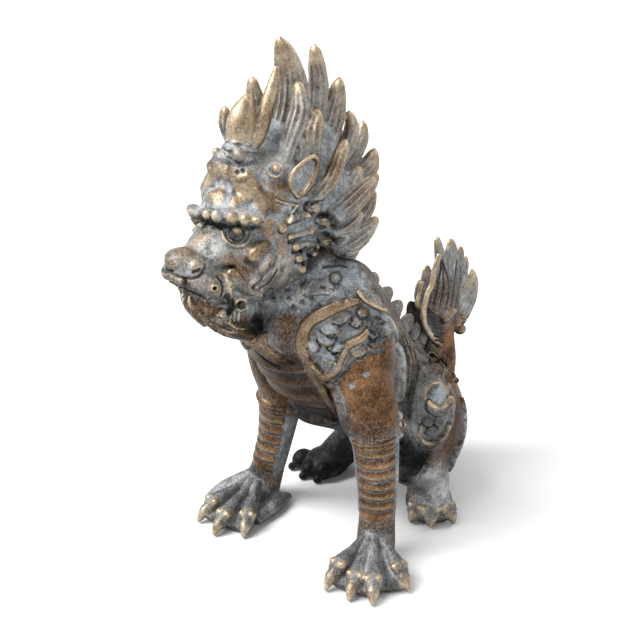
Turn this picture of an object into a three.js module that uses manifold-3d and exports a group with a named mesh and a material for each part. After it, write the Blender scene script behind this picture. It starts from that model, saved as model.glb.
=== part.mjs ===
// Seated qilin, a cast bronze figure: one piece of metal from the mane to the soles.
// Millimetres, +Z up, the animal looks along -Y and its left side is +X.
// Every place below is in hundredths of the figure's height, from a point on the floor under
// its chest, and the last function moves the origin to the middle of the footprint.
import * as THREE from 'three';
import { mergeVertices } from 'three/addons/utils/BufferGeometryUtils.js';
import Module from 'manifold-3d';

const HEIGHT = 380;
const SHARE = HEIGHT / 100;

const SOLE_DEPTH = 20;
const BODY_SIDES = 12;
const LIMB_SIDES = 6;
const LOCK_SIDES = 4;
const NEAR_LOCK_RINGS = 3;
const FAR_LOCK_RINGS = 2;
const CHEST_SCUTES = 6;
const CHEST_STEP = 0.75;
const LEG_SCUTES = 8;
const LEG_STEP = 0.1;
const FIN_COUNT = 8;
const SCALES = 3;

const BRONZE = new THREE.MeshStandardMaterial({ color: '#6d5238', roughness: 0.55, metalness: 0.8 });

const wasm = await Module();
wasm.setup();

const place = ([x, y, z]) => new THREE.Vector3(x, y, z).multiplyScalar(SHARE);
const flip = ([x, y, z], hand) => [x * hand, y, z];
const mix = (a, b, t) => a + (b - a) * t;

// The value at t of a row of numbers spread evenly from t = 0 to t = 1.
function along(row, t) {
  const spot = Math.min(Math.max(t, 0), 1) * (row.length - 1);
  const index = Math.min(Math.floor(spot), row.length - 2);
  return mix(row[index], row[index + 1], spot - index);
}

function closed(geometry) {
  geometry.deleteAttribute('normal');
  geometry.deleteAttribute('uv');
  const merged = mergeVertices(geometry, 1e-4);
  const vertProperties = new Float32Array(merged.attributes.position.array);
  const triVerts = new Uint32Array(merged.index.array);
  return new wasm.Manifold(new wasm.Mesh({ numProp: 3, vertProperties, triVerts }));
}

const pieces = [];
const add = (geometry) => pieces.push(closed(geometry));

// A rounded body: half-sizes and turns (degrees) about X, Y and Z.
function ball(centre, halves, turns = [0, 0, 0], detail = [6, 4]) {
  const geometry = new THREE.SphereGeometry(1, detail[0], detail[1]);
  geometry.scale(halves[0] * SHARE, halves[1] * SHARE, halves[2] * SHARE);
  const [rx, ry, rz] = turns.map(THREE.MathUtils.degToRad);
  geometry.applyMatrix4(new THREE.Matrix4().makeRotationFromEuler(new THREE.Euler(rx, ry, rz)));
  const at = place(centre);
  geometry.translate(at.x, at.y, at.z);
  add(geometry);
}

// A tapering body along a smooth path. `widths` and `depths` are half-sizes spread along it,
// `side` gives the direction of the width at a point, and `ring` may place and swell each ring.
function taper(path, widths, depths, options = {}) {
  const { sides = LIMB_SIDES, rings = 3, side = () => [1, 0, 0], ring } = options;
  const curve = new THREE.CatmullRomCurve3(path.map(place));
  const geometry = new THREE.CylinderGeometry(1, 1, 1, sides, rings);
  const position = geometry.attributes.position;
  for (let i = 0; i < position.count; i += 1) {
    const index = Math.round((position.getY(i) + 0.5) * rings);
    const { t, swell } = ring ? ring(index) : { t: index / rings, swell: 1 };
    const point = curve.getPoint(t);
    const tangent = curve.getTangent(t);
    const out = new THREE.Vector3(...side(point.clone().divideScalar(SHARE)));
    out.addScaledVector(tangent, -out.dot(tangent)).normalize();
    const up = new THREE.Vector3().crossVectors(out, tangent);
    point.addScaledVector(out, position.getX(i) * along(widths, t) * swell * SHARE);
    point.addScaledVector(up, position.getZ(i) * along(depths, t) * swell * SHARE);
    position.setXYZ(i, point.x, point.y, point.z);
  }
  add(geometry);
}

// Rings in pairs, so that each scute ends in a small step down to the next.
const stepped = (count, rise) => (index) => {
  const scute = Math.floor(index / 2);
  const low = index % 2 === 0;
  return { t: Math.min((scute + (low ? 0 : 0.8)) / count, 1), swell: low ? 1 - rise / 2 : 1 + rise };
};

const beaded = (count) => (index) => ({ t: index / count, swell: index % 2 === 0 ? 0.75 : 1.15 });

// The trunk: ribs from the rump to the neck, each with its back and belly points (y, z)
// and its half-width.
const RIBS = [
  { back: [34, 11], belly: [26, -1], half: 6.5 },
  { back: [33.4, 18], belly: [16, 3], half: 10.5 },
  { back: [27.4, 25.5], belly: [9, 13], half: 12 },
  { back: [21, 32], belly: [0.5, 21.6], half: 12 },
  { back: [16.2, 38], belly: [-8.5, 27], half: 12.2 },
  { back: [12, 44.5], belly: [-15.6, 32.6], half: 13 },
  { back: [8, 50.5], belly: [-19.6, 39.4], half: 13 },
  { back: [3, 56], belly: [-23, 46.4], half: 11.8 },
  { back: [-3, 61], belly: [-21.6, 52], half: 9.6 },
  { back: [-6, 66], belly: [-18.5, 58], half: 8.2 },
];
const CHEST_FROM = 0.36;
const CHEST_TO = 0.82;

function rib(t) {
  const of = (key, axis) => along(RIBS.map((one) => one[key][axis]), t);
  const back = [of('back', 0), of('back', 1)];
  const belly = [of('belly', 0), of('belly', 1)];
  return { back, belly, half: along(RIBS.map((one) => one.half), t) };
}

// A point of the trunk's skin: angle 0 is the spine, half a turn is the belly.
function trunkPoint(t, angle, lift = 0) {
  const { back, belly, half } = rib(t);
  const depth = [(back[0] - belly[0]) / 2, (back[1] - belly[1]) / 2];
  const reach = Math.hypot(...depth);
  const grow = 1 + lift / reach;
  const y = (back[0] + belly[0]) / 2 + depth[0] * Math.cos(angle) * grow;
  const z = (back[1] + belly[1]) / 2 + depth[1] * Math.cos(angle) * grow;
  return [(half + lift) * Math.sin(angle), y, z];
}

// The trunk's half-width at a point (y, z) of its side, or 0 outside its outline.
function trunkSide(y, z) {
  let widest = 0;
  const steps = 60;
  for (let i = 0; i <= steps; i += 1) {
    const { back, belly, half } = rib(i / steps);
    const [dy, dz] = [belly[0] - back[0], belly[1] - back[1]];
    const share = ((y - back[0]) * dy + (z - back[1]) * dz) / (dy * dy + dz * dz);
    const off = Math.abs((y - back[0]) * dz - (z - back[1]) * dy) / Math.hypot(dy, dz);
    const inside = share > 0 && share < 1 && off < 1;
    if (inside) widest = Math.max(widest, half * Math.sqrt(1 - (2 * share - 1) ** 2));
  }
  return widest;
}

function trunk() {
  const rings = [];
  for (let i = 0; i <= 4; i += 1) rings.push({ t: mix(0, CHEST_FROM, i / 5), step: 0 });
  for (let i = 0; i < CHEST_SCUTES; i += 1) {
    rings.push({ t: mix(CHEST_FROM, CHEST_TO, i / CHEST_SCUTES), step: CHEST_STEP });
    rings.push({ t: mix(CHEST_FROM, CHEST_TO, (i + 0.85) / CHEST_SCUTES), step: 0 });
  }
  for (let i = 0; i <= 2; i += 1) rings.push({ t: mix(CHEST_TO, 1, i / 2), step: 0 });
  const geometry = new THREE.CylinderGeometry(1, 1, 1, BODY_SIDES, rings.length - 1);
  const position = geometry.attributes.position;
  for (let i = 0; i < position.count; i += 1) {
    const { t, step } = rings[Math.round((position.getY(i) + 0.5) * (rings.length - 1))];
    const radius = Math.hypot(position.getX(i), position.getZ(i));
    const angle = Math.atan2(position.getX(i), -position.getZ(i));
    const facing = Math.max(0, -Math.cos(angle) * 1.6 - 0.3);
    const [x, y, z] = trunkPoint(t, angle, step * Math.min(facing, 1));
    const [, midY, midZ] = trunkPoint(t, Math.PI / 2);
    const at = place([x * radius, mix(midY, y, radius), mix(midZ, z, radius)]);
    position.setXYZ(i, at.x, at.y, at.z);
  }
  add(geometry);
}

// Rounded masses on each side of the trunk, with their lean in degrees.
const SHOULDER = { centre: [9.2, -8.4, 48.6], halves: [5.6, 9.4, 12.4], lean: 0 };
const LEFT_ARM = { centre: [12, -7.2, 40.6], halves: [5.4, 6.6, 17.4], lean: 0 };
const RIGHT_ARM = { centre: [11, -7.6, 42], halves: [5.4, 6.6, 17.4], lean: 0 };
const LEFT_HAUNCH = { centre: [11.4, 15.4, 19.2], halves: [5.6, 10.4, 14.6], lean: 14 };
const RIGHT_HAUNCH = { centre: [9.8, 18.4, 18.6], halves: [5, 8.2, 14], lean: 12 };
const LEFT_DOMES = [SHOULDER, LEFT_ARM, LEFT_HAUNCH];
const RIGHT_DOMES = [SHOULDER, RIGHT_ARM, RIGHT_HAUNCH];
const domesOn = (hand) => (hand > 0 ? LEFT_DOMES : RIGHT_DOMES);

function domeSide({ centre, halves, lean }, y, z) {
  const turn = THREE.MathUtils.degToRad(-lean);
  const [dy, dz] = [y - centre[1], z - centre[2]];
  const across = (dy * Math.cos(turn) - dz * Math.sin(turn)) / halves[1];
  const upward = (dy * Math.sin(turn) + dz * Math.cos(turn)) / halves[2];
  const rest = 1 - across ** 2 - upward ** 2;
  return rest > 0 ? centre[0] + halves[0] * Math.sqrt(rest) : 0;
}

// How far the animal's side stands from its middle plane at (y, z), and which way it faces.
function flank(y, z, hand) {
  const domes = domesOn(hand).map((dome) => domeSide(dome, y, z));
  return Math.max(trunkSide(y, z), ...domes);
}

function flankFacing(y, z, hand) {
  const slopeY = flank(y - 0.5, z, hand) - flank(y + 0.5, z, hand);
  const slopeZ = flank(y, z - 0.5, hand) - flank(y, z + 0.5, hand);
  return [hand, slopeY, slopeZ];
}

// A raised strip or leaf that lies on the flank through the points (y, z).
function strip(points, widths, rise, hand, rings) {
  const path = points.map(([y, z]) => [hand * flank(y, z, hand), y, z]);
  taper(path, [rise, rise], widths, { sides: 4, rings, side: ({ y, z }) => flankFacing(y, z, hand) });
}

function leaf(from, to, width, hand) {
  const swell = [mix(from[0], to[0], 0.45), mix(from[1], to[1], 0.45)];
  strip([from, swell, to], [width * 0.4, width, 0.2], 0.7, hand, 2);
}

function masses() {
  trunk();
  for (const hand of [1, -1]) {
    for (const { centre, halves, lean } of domesOn(hand)) {
      ball(flip(centre, hand), halves, [lean, 0, 0], [8, 5]);
    }
  }
}

// Plates of the shoulder: a C-shaped rim that runs on down the arm, an inner rim and scales.
function shoulderPlate(hand) {
  const loop = [[-10.6, 54.8], [-15, 54], [-18.4, 50], [-17.4, 44.4], [-15.6, 39.6]];
  const down = [[-11.4, 33.4], [-8.4, 28.4]];
  const inner = [[-8.6, 49.6], [-12.4, 48.4], [-14.4, 45.6], [-14.4, 42.4], [-16.4, 42.4]];
  strip(loop.concat(down), [0.8, 1.2, 1.3, 1.2, 0.9, 0.7, 0.4], 1, hand, 7);
  strip(inner, [0.5, 1, 1, 1, 0.6], 1, hand, 4);
  if (hand < 0) return;
  for (let i = 0; i < SCALES; i += 1) {
    leaf([-12.8 - i * 0.6, 53 - i * 2.8], [-16 - i * 0.1, 51 - i * 2.8], 1.3, hand);
    leaf([-6.6 - i * 1.4, 52.8 - i * 2.8], [-9.4 - i * 1.6, 49.2 - i * 2.6], 1.3, hand);
  }
}

// Thigh ornament: a round boss and a rimmed row of scales below it.
function haunchPlate() {
  const [y, z] = [9.7, 30.5];
  ball([flank(y, z, 1), y, z], [1.2, 2.8, 2.8], [0, -18, 0], [6, 4]);
  strip([[5, 27], [6.2, 22], [8.9, 19.3], [12.4, 19.8]], [0.4, 0.9, 0.9, 0.4], 0.8, 1, 4);
  for (let i = 0; i < SCALES; i += 1) {
    const step = i * 2.4;
    leaf([7.2 + step, 26 - i * 0.6], [8.8 + step, 22 - i * 0.4], 1.3, 1);
  }
}

// Long hair that falls behind the arm.
function sideHair(hand) {
  for (let i = 0; i < 2; i += 1) {
    const back = i * 1.4;
    const high = [[12.4, -3.4 + i, 55], [13.6, 1 + back, 45.6]];
    const low = [[13.4, 2.6 + back, 36.8], [12.4, 2.4 + i, 25 + i * 5]];
    const path = high.concat(low).map((one) => flip(one, hand));
    taper(path, [0.6, 1.4, 1.2, 0.3], [0.8, 1.5, 1.4, 0.4], { sides: 4 });
  }
}

// One toe with its knuckle and claw, from the palm to a tip on the floor.
function toe(palm, tip) {
  const reach = (t, z) => [mix(palm[0], tip[0], t), mix(palm[1], tip[1], t), z];
  const path = [reach(0, 3.6), reach(0.5, 3.8), reach(1.04, 0.4)];
  taper(path, [3, 3.2, 0.7], [2.6, 2.4, 0.5], { sides: 4, rings: 2 });
}

function foot(palm, tips, halves) {
  ball(palm, halves, [0, 0, 0], [8, 4]);
  for (const tip of tips) toe(palm, tip);
}

// Foreleg below the elbow: scutes from the elbow down to the ankle, then the spread foot.
const LEFT_SHIN = [
  [15.2, -7.2, 32],
  [15.8, -7, 25],
  [16.2, -6.8, 17],
  [17, -7.2, 9.6],
  [18.2, -8.4, 2.6],
];
const RIGHT_SHIN = [
  [-8.6, -7.4, 32],
  [-9.6, -7.6, 24],
  [-11.2, -7.8, 16],
  [-13.2, -8.4, 9],
  [-14.8, -9.4, 2.6],
];

function forelegs() {
  const leftGirths = [4.5, 3.9, 3.6, 3.5, 4.2];
  const rightGirths = [6.4, 4.8, 3.9, 3.7, 4.2];
  const scutes = { rings: LEG_SCUTES * 2, ring: stepped(LEG_SCUTES, LEG_STEP) };
  taper(LEFT_SHIN, leftGirths, leftGirths, scutes);
  taper(RIGHT_SHIN, rightGirths, rightGirths, scutes);
  foot([21.8, -13, 2.2], [[19.2, -22.6], [24.8, -22], [29.6, -19.2], [30, -10.8]], [7.6, 7, 3.4]);
  foot([-13, -15.2, 2.2], [[-19, -22.6], [-15.6, -25.8], [-10.2, -26.2], [-5, -21.6]], [7.4, 7.6, 3.4]);
  const spur = [[-14.4, -9, 2.6], [-13, -5, 2], [-12, -2, 0.6]];
  taper(spur, [2.4, 2, 0.3], [2.2, 1.6, 0.3], { sides: 4, rings: 2 });
}

function hindlegs() {
  const left = [[13, 7, 15], [13.2, 12.8, 9], [13.6, 13.2, 3]];
  const right = [[-9.6, 13, 16], [-11.4, 12.6, 9], [-12.4, 11.6, 3]];
  for (const path of [left, right]) taper(path, [5, 4.8, 4.6], [5.6, 5.2, 4.8], { sides: 6 });
  foot([14, 10.8, 2.2], [[9.4, 5], [14.4, 4.6], [19, 6.6], [21.8, 11.6]], [6.8, 6.4, 3.4]);
  foot([-12.8, 9.4, 2.2], [[-19, 4.4], [-15, 1.8], [-9.4, 2]], [6.6, 6.4, 3.2]);
}

// Rounded fins on the spine, smaller towards the tail.
function spineFins() {
  for (let i = 0; i < FIN_COUNT; i += 1) {
    const share = i / (FIN_COUNT - 1);
    const t = mix(0.76, 0.2, share);
    const { back, belly } = rib(t);
    const size = mix(3, 1.8, share);
    const lean = THREE.MathUtils.radToDeg(Math.atan2(back[1] - belly[1], back[0] - belly[0]));
    ball([0, ...back], [1.2, size * 1.1, size * 0.8], [lean, 0, 0], [5, 3]);
  }
}

// A flame lock: it swells a little, bends and ends in a rounded tip.
function lock(path, width, hand = 1) {
  const widths = [0.9, 1.3, 1.1, 0.5].map((share) => share * width);
  const rings = hand > 0 ? NEAR_LOCK_RINGS : FAR_LOCK_RINGS;
  taper(path.map((one) => flip(one, hand)), widths, widths, { sides: LOCK_SIDES, rings });
}

// Mane locks as root, bend, tip and half-width: the crest, then those of both sides.
const CREST = [
  [[0, -16, 78], [0.6, -13.2, 90], [0, -15, 100.6], 3.2],
  [[0, -12, 80], [-0.5, -5.8, 89], [-1, -6.3, 98], 2.4],
  [[0, -10, 76], [0.5, -3, 84], [0, -1, 91.4], 2.6],
  [[0, -9, 72], [0.5, -0.4, 77], [0, 5, 82.6], 2.8],
  [[0, -9, 66], [0, 0, 68], [0.6, 5.4, 74], 2.2],
  [[0, -8, 61], [0, -2, 60.4], [1, 3.6, 65], 2.2],
];
const SIDE_LOCKS = [
  [[4, -13, 77], [4.4, -6.6, 83], [3.4, -2, 87.6], 2.4],
  [[7.6, -14, 72], [8.8, -10, 78], [7.6, -6.4, 82.6], 2],
  [[5, -10, 70], [5.8, -1.8, 74], [3.4, 3.8, 79.6], 2.2],
  [[7.6, -12, 67], [8.4, -5.6, 70], [6, 1.6, 75.6], 2.2],
  [[7, -10, 63], [7.4, -3.6, 66], [4.6, 3.8, 71.6], 2],
  [[7.6, -13, 60.6], [8.4, -6, 61.4], [5.6, 2.2, 66.4], 2.2],
];
const TEMPLE_LOCKS = [
  [[4.4, -19, 79], [5.6, -16.6, 86], [4.6, -15.2, 93], 2.3],
  [[-4.4, -19, 79], [-5, -16.6, 86], [-4.6, -16.4, 92.8], 2.2],
  [[6.6, -17, 78], [8, -16, 83], [8, -15.2, 88.4], 2],
  [[-6, -20, 78], [-7, -20.4, 83.6], [-7.8, -20.8, 88], 1.6],
];

function mane() {
  ball([0, -11, 71.6], [8.6, 10.5, 12], [0, 0, 0], [6, 5]);
  for (const [root, bend, tip, width] of CREST.concat(TEMPLE_LOCKS)) lock([root, bend, tip], width);
  for (const hand of [1, -1]) {
    for (const [root, bend, tip, width] of SIDE_LOCKS) lock([root, bend, tip], width, hand);
  }
}

// Knob, band and the smooth two-pronged horn above them.
function horn() {
  ball([0, -26.2, 81.6], [2.4, 2.2, 2.1]);
  const band = [[0, -23.4, 79.5], [0, -23.6, 83.4], [0, -23.4, 86.6]];
  const front = [[0, -23.4, 84], [-0.4, -23, 88], [-1, -21.6, 92]];
  const back = [[0.6, -22, 84.6], [2.4, -21, 88.4], [2.4, -19.4, 92], [3, -18, 96]];
  taper(band, [3, 2.6, 2.6], [3, 2.6, 2.6], { sides: 6, rings: 2 });
  taper(front, [2.3, 2.4, 0.4], [2.3, 2.2, 0.4], { sides: 6 });
  taper(back, [2, 1.9, 1.5, 0.4], [2, 1.8, 1.4, 0.4], { sides: 5 });
}

// Strips of the face lie flat: their width stands upright.
const upright = () => [0, 0, 1];
const foreAndAft = () => [0, 1, -0.6];

function skull() {
  ball([0, -18.4, 71.6], [9.6, 11.4, 11.6], [0, 0, 0], [8, 7]);
  const snout = [[0, -22, 65.8], [0, -29.4, 65], [0, -34.6, 64.4], [0, -39, 64.4]];
  const chin = [[0, -19, 58], [0, -28, 58.4], [0, -37.4, 58.8]];
  taper(snout, [7.8, 6.4, 5, 3], [7.6, 5, 3.8, 2.2], { rings: 4 });
  taper(chin, [6.6, 4.8, 2.6], [6.2, 3, 2], { sides: 6, rings: 2 });
  for (const hand of [1, -1]) {
    const at = (x, y, z) => [x * hand, y, z];
    ball(at(3, -25.4, 78), [3.6, 3.4, 4.6], [15, 0, 0]);
    ball(at(5.6, -25.6, 75), [3.4, 3, 3]);
    ball(at(7, -22.8, 79), [2.2, 2.2, 2.2]);
    ball(at(5.6, -29.4, 70.4), [2.4, 2.2, 2.2]);
    ball(at(7, -26.6, 66), [2.4, 2.8, 2.4]);
    ball(at(5.6, -21.4, 64.6), [4.6, 5.4, 5.6]);
    ball(at(2.5, -35.4, 65.2), [2.3, 2.4, 2]);
    faceStrips(at);
  }
}

// Beaded brow, lip, moustache and jaw line, cheek flames, rolled curls and the ear.
function faceStrips(at) {
  const brow = [at(1.2, -32.6, 72.8), at(4.6, -31.4, 73.4), at(7.4, -28.6, 72.8), at(9, -25, 71.6)];
  taper(brow, [1.2, 1.5, 1.5, 0.8], [1.4, 1.6, 1.6, 0.8], {
    sides: 4, rings: 6, ring: beaded(6), side: upright,
  });
  const lip = [at(0.6, -40, 62.8), at(3.6, -38.4, 62.2), at(5, -35.6, 61.4), at(5.4, -32.6, 61.6)];
  taper(lip, [1.2, 1.7, 2, 1.4], [1.2, 1.5, 1.8, 1.4], { sides: 5, rings: 4, side: upright });
  const moustache = [at(3.6, -33.6, 65), at(6, -30.4, 61.4), at(8.4, -27.4, 59.6)];
  const jaw = [at(9.8, -21, 58.8), at(9.4, -14, 57.4), at(7.4, -8, 56.6)];
  taper(moustache.concat(jaw), [0.8, 1, 1.5, 1.8, 1.6, 0.5], [0.8, 1, 1.6, 2, 1.8, 0.5], {
    sides: 4, rings: 5, side: upright,
  });
  for (let i = 0; i < 2; i += 1) {
    const up = i * 3;
    const flameRoot = at(8, -25 + i * 1.4, 62 + up);
    const flame = [flameRoot, at(10, -22.4 + i, 63 + up), at(10.2, -18.6 + i, 65.4 + up)];
    taper(flame, [1, 1.6, 0.3], [1, 1.7, 0.3], { sides: 4, rings: 2, side: upright });
    const down = i * 4;
    const curlRoot = at(8.2, -20 + i, 71 - down);
    const curl = [curlRoot, at(10.2, -16.4 + i, 71.8 - down), at(9.6, -12.6 + i, 73.6 - down)];
    taper(curl, [1, 1.6, 1.5], [1.1, 1.7, 1.6], { sides: 4, side: upright });
  }
  const ear = [at(8.6, -21.8, 74.6), at(10.4, -20.6, 78), at(11, -17, 83)];
  taper(ear, [2.4, 3, 0.4], [1.2, 1.2, 0.3], { sides: 5, side: foreAndAft });
}

// Chin tuft, curls and the strands that fall from the jaw to the chest, over a leaf on each side.
function beard() {
  const tuft = [[0, -33.4, 60], [0, -33.8, 55.6], [0, -32.2, 52], [0, -28.6, 48.6]];
  taper(tuft, [3.4, 2.8, 2.2, 0.8], [3, 2.4, 2, 0.8], { sides: 6, rings: 4 });
  taper([[0, -24, 60], [0, -23, 54], [0, -21, 47]], [6, 6.4, 7], [5, 4, 2.4], { sides: 6, rings: 2 });
  for (const hand of [1, -1]) {
    ball([3.4 * hand, -31.8, 55.6], [1.6, 1.8, 1.8], [0, 0, 0], [6, 4]);
    const strand = [[4 * hand, -28, 56], [4 * hand, -26.6, 51.4], [5 * hand, -23.6, 47.4]];
    taper(strand, [1.6, 1.6, 0.4], [1.4, 1.5, 0.4], { sides: 4, rings: 2 });
    const lappet = [[0, -24.6, 47.6], [4.5 * hand, -23.6, 46.8], [9.4 * hand, -19.6, 44.2]];
    taper(lappet, [1.7, 1.4, 0.3], [1.5, 1.3, 0.3], { sides: 4, side: upright });
  }
}

// The flames of the tail tuft: root, bend, tip and half-width.
const TUFT = [
  [[0, 33, 25], [-0.4, 31.4, 41], [-0.6, 28, 54.4], 3],
  [[0, 33.4, 27], [0.6, 34.4, 41], [0.6, 32.2, 53], 2.8],
  [[0, 34, 28], [0.8, 37.6, 40], [0.8, 36.4, 49.8], 2.6],
  [[0, 34, 28], [0.6, 39.2, 36], [0.6, 40, 44.6], 2.4],
  [[0, 33, 28], [-0.8, 28, 37], [-1, 23.4, 47.8], 2.6],
  [[0, 32.6, 27], [-0.8, 26.4, 34], [-1, 21.8, 43.2], 2.4],
  [[0, 32.4, 26], [-0.6, 26.4, 31], [-1, 20.6, 38], 2.2],
];

function tail() {
  const stem = [[0, 27, 10], [0, 31.4, 17.6], [0, 34, 23], [0, 33.2, 30]];
  taper(stem, [4, 3.4, 2.8, 2.6], [4.4, 3.8, 3, 2.6], { sides: 6 });
  for (const [root, bend, tip, width] of TUFT) {
    const depths = [0.7 * width, width, width, 0.4];
    taper([root, bend, tip], [1.2, 2.2, 1.9, 0.5], depths, { sides: LOCK_SIDES });
  }
}

function figure() {
  masses();
  for (const hand of [1, -1]) {
    shoulderPlate(hand);
    sideHair(hand);
  }
  haunchPlate();
  forelegs();
  hindlegs();
  spineFins();
  skull();
  mane();
  horn();
  beard();
  tail();
  const whole = pieces.reduce((sum, piece) => sum.add(piece));
  const slab = new THREE.BoxGeometry(HEIGHT * 2, HEIGHT * 2, SOLE_DEPTH).translate(0, 0, -SOLE_DEPTH / 2);
  return whole.subtract(closed(slab));
}

function meshOf(solid) {
  const { vertProperties, triVerts } = solid.getMesh();
  const geometry = new THREE.BufferGeometry();
  geometry.setAttribute('position', new THREE.BufferAttribute(new Float32Array(vertProperties), 3));
  geometry.setIndex(new THREE.BufferAttribute(new Uint32Array(triVerts), 1));
  geometry.computeVertexNormals();
  return new THREE.Mesh(geometry, BRONZE);
}

const qilin = meshOf(figure());
qilin.name = 'qilin';
const box = new THREE.Box3().setFromObject(qilin);
const middle = box.getCenter(new THREE.Vector3());
qilin.position.set(-middle.x, -middle.y, 0);

const part = new THREE.Group();
part.name = 'seated_qilin';
part.add(qilin);

export default part;
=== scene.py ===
# Seated qilin in cast and patinated bronze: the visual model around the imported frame.
import functools
import math

import bmesh
import bpy
import numpy as np
from mathutils import Matrix, Vector
from mathutils.bvhtree import BVHTree
from mathutils.kdtree import KDTree


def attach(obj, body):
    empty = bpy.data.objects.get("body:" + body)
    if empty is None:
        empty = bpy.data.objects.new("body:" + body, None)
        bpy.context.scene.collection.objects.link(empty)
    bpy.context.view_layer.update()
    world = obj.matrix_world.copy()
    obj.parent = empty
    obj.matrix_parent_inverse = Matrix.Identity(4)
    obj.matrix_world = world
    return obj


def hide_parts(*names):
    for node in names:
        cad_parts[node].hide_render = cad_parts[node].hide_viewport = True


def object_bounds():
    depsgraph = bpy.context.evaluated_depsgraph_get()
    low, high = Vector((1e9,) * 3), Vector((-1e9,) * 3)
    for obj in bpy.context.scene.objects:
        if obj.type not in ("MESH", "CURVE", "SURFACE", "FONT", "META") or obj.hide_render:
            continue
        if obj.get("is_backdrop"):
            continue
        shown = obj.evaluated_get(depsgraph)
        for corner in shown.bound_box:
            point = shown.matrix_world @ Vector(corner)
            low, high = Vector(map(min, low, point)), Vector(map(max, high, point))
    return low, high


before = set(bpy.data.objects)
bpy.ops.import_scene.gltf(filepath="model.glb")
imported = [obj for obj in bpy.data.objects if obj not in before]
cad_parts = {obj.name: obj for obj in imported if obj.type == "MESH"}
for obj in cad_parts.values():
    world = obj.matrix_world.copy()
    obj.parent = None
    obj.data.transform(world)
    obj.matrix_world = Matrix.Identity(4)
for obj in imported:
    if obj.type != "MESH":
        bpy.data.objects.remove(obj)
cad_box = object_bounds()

# The figure is modelled in hundredths of its height, from a point on the floor under its chest.
# It looks along -Y and its left side, the one the camera sees, is +X.
HEIGHT = 0.380
SHARE = HEIGHT / 100
FOOTPRINT_MIDDLE = Vector((0.0197025, 0.0020834, 0))
UP = (0, 0, 1)
BACKWARD = (0, 1, 0)
BOTH = (1, -1)
LEFT = (1,)
RIGHT = (-1,)

# The camera of the photograph, in the figure's own frame. Where a table of ornament below gives
# spots, they are places (u, v) of that photograph, across and down.
PICTURE = 640
FOCAL = 1100
SENSOR = 36
TURN = math.radians(46)
PITCH = math.radians(23)
EYE_POINT = Vector((0.5383, -0.5410, 0.4900))
SIDEWAYS = np.array([math.cos(TURN), math.sin(TURN), 0])
AHEAD = np.array([-math.sin(TURN), math.cos(TURN), 0])
FORWARD = AHEAD * math.cos(PITCH) - np.array([0, 0, math.sin(PITCH)])
UPWARD = AHEAD * math.sin(PITCH) + np.array([0, 0, math.cos(PITCH)])
OUTLINE_SIDE = 6

# A coat says how much of the skin is rubbed brass, warm brown metal, pale dust and dark. The dark
# share is mostly painted shade in grooves, holes and shaded places, and in a few places dark
# patina.
PLAIN = (0, 0, 0, 0)
BRASS = (1, 0, 0, 0)
BLACK = (0, 0, 0, 1)
BODY_GROUND = (0, 0.3, 0, 0.1)
HEAD_GROUND = (0, 0, 0.5, 0)

# How finely round forms are divided: round about, and from pole to pole.
BALL = (20, 12)
LARGE_BALL = (28, 18)
SKULL_BALL = (32, 20)
BEAD_BALL = (14, 9)
SCALE_BALL = (18, 12)
KNUCKLE_BALL = (12, 8)
BAND_SIDES = 14
SCALE_LIFT = 0.7
SCALE_THICKNESS = 0.5

# The two skins: the plain mass that ornament is laid on, and the finished one.
MASS_VOXEL = 0.5
MASS_SMOOTHING = 12
FINE_VOXEL = 0.2
FINE_SMOOTHING = 2
PIECE_FACES = 190000
COAT_SMOOTHING = 3
RELIEF_ROUNDS = (4, 30)

# A stroke is worked on skin at most STROKE_DEPTH away, a few of its points at a time. BEYOND is
# past the edge of every stroke, where 1 is the edge. RAGGED makes a broad coat's edge uneven.
STROKE_STEP = 0.3
LINE_SMOOTHING = 3
STROKE_DEPTH = 2
STROKE_PART = 12
BEYOND = 9.0
RAGGED = np.array([[3.1, -1.2, 2.9], [1.7, 2.3, -2.1], [-1.9, 3.7, 4.3]])
GOLDEN_TURN = 2.4

# Colours of the patina, darker and lighter, the near black of painted shade and of dark pores and
# spots, and of the backdrop paper.
BROWN = ("#17130f", "#40362c")
WARM = ("#4a3020", "#ad8059")
DUST = ("#7b838b", "#ced3d6")
GOLD = ("#b89c78", "#eadbc0")
SHADE_AND_SPOT_BLACK = "#101011"
PAPER = ("#f7f7f7", "#fbfbfb")
FLECK = 0.2

# The light of the photograph: a white sky, a broad sun, and softboxes by place, size and power.
FLOOR_REACH = 14
SKY = 0.62
SUN_FROM = (-0.3, -0.7, 1)
SUN_POWER = 2.6
SUN_SPREAD = math.radians(40)
SOFTBOXES = (((-0.6, -0.9, 1.2), 0.7, 9), ((0.2, 1.2, 1.4), 1.0, 6))
SOFTBOX_AIM = Vector((0, 0, 0.2))


def linked(thing):
    bpy.context.scene.collection.objects.link(thing)
    return thing


def add_camera():
    data = bpy.data.cameras.new("photo_view")
    data.sensor_width = SENSOR
    data.lens = SENSOR * FOCAL / PICTURE
    camera = linked(bpy.data.objects.new("photo_view", data))
    camera.location = EYE_POINT - FOOTPRINT_MIDDLE
    camera.rotation_euler = (math.pi / 2 - PITCH, 0, TURN)
    bpy.context.scene.camera = camera


def sight(u, v):
    """The direction in which the photograph's camera sees its point (u, v)."""
    return FORWARD * FOCAL + SIDEWAYS * (u - PICTURE / 2) - UPWARD * (v - PICTURE / 2)


def seen(u, v, x):
    """The place at (u, v) of the photograph that lies x to the animal's left."""
    line = sight(u, v)
    eye = np.array(EYE_POINT) / SHARE
    return eye + line * (x - eye[0]) / line[0]


def seen_path(spots, x):
    return [seen(u, v, x) for u, v in spots]


def smooth(low, high, value):
    """An eased share, 0 at low and 1 at high."""
    share = np.clip((value - low) / (high - low), 0, 1)
    return share * share * (3 - 2 * share)


def along(row, t):
    """One value, or a row of values spread evenly over t, read at t."""
    row = np.atleast_1d(np.asarray(row, float))
    return np.interp(t, np.linspace(0, 1, len(row)), row)


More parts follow.
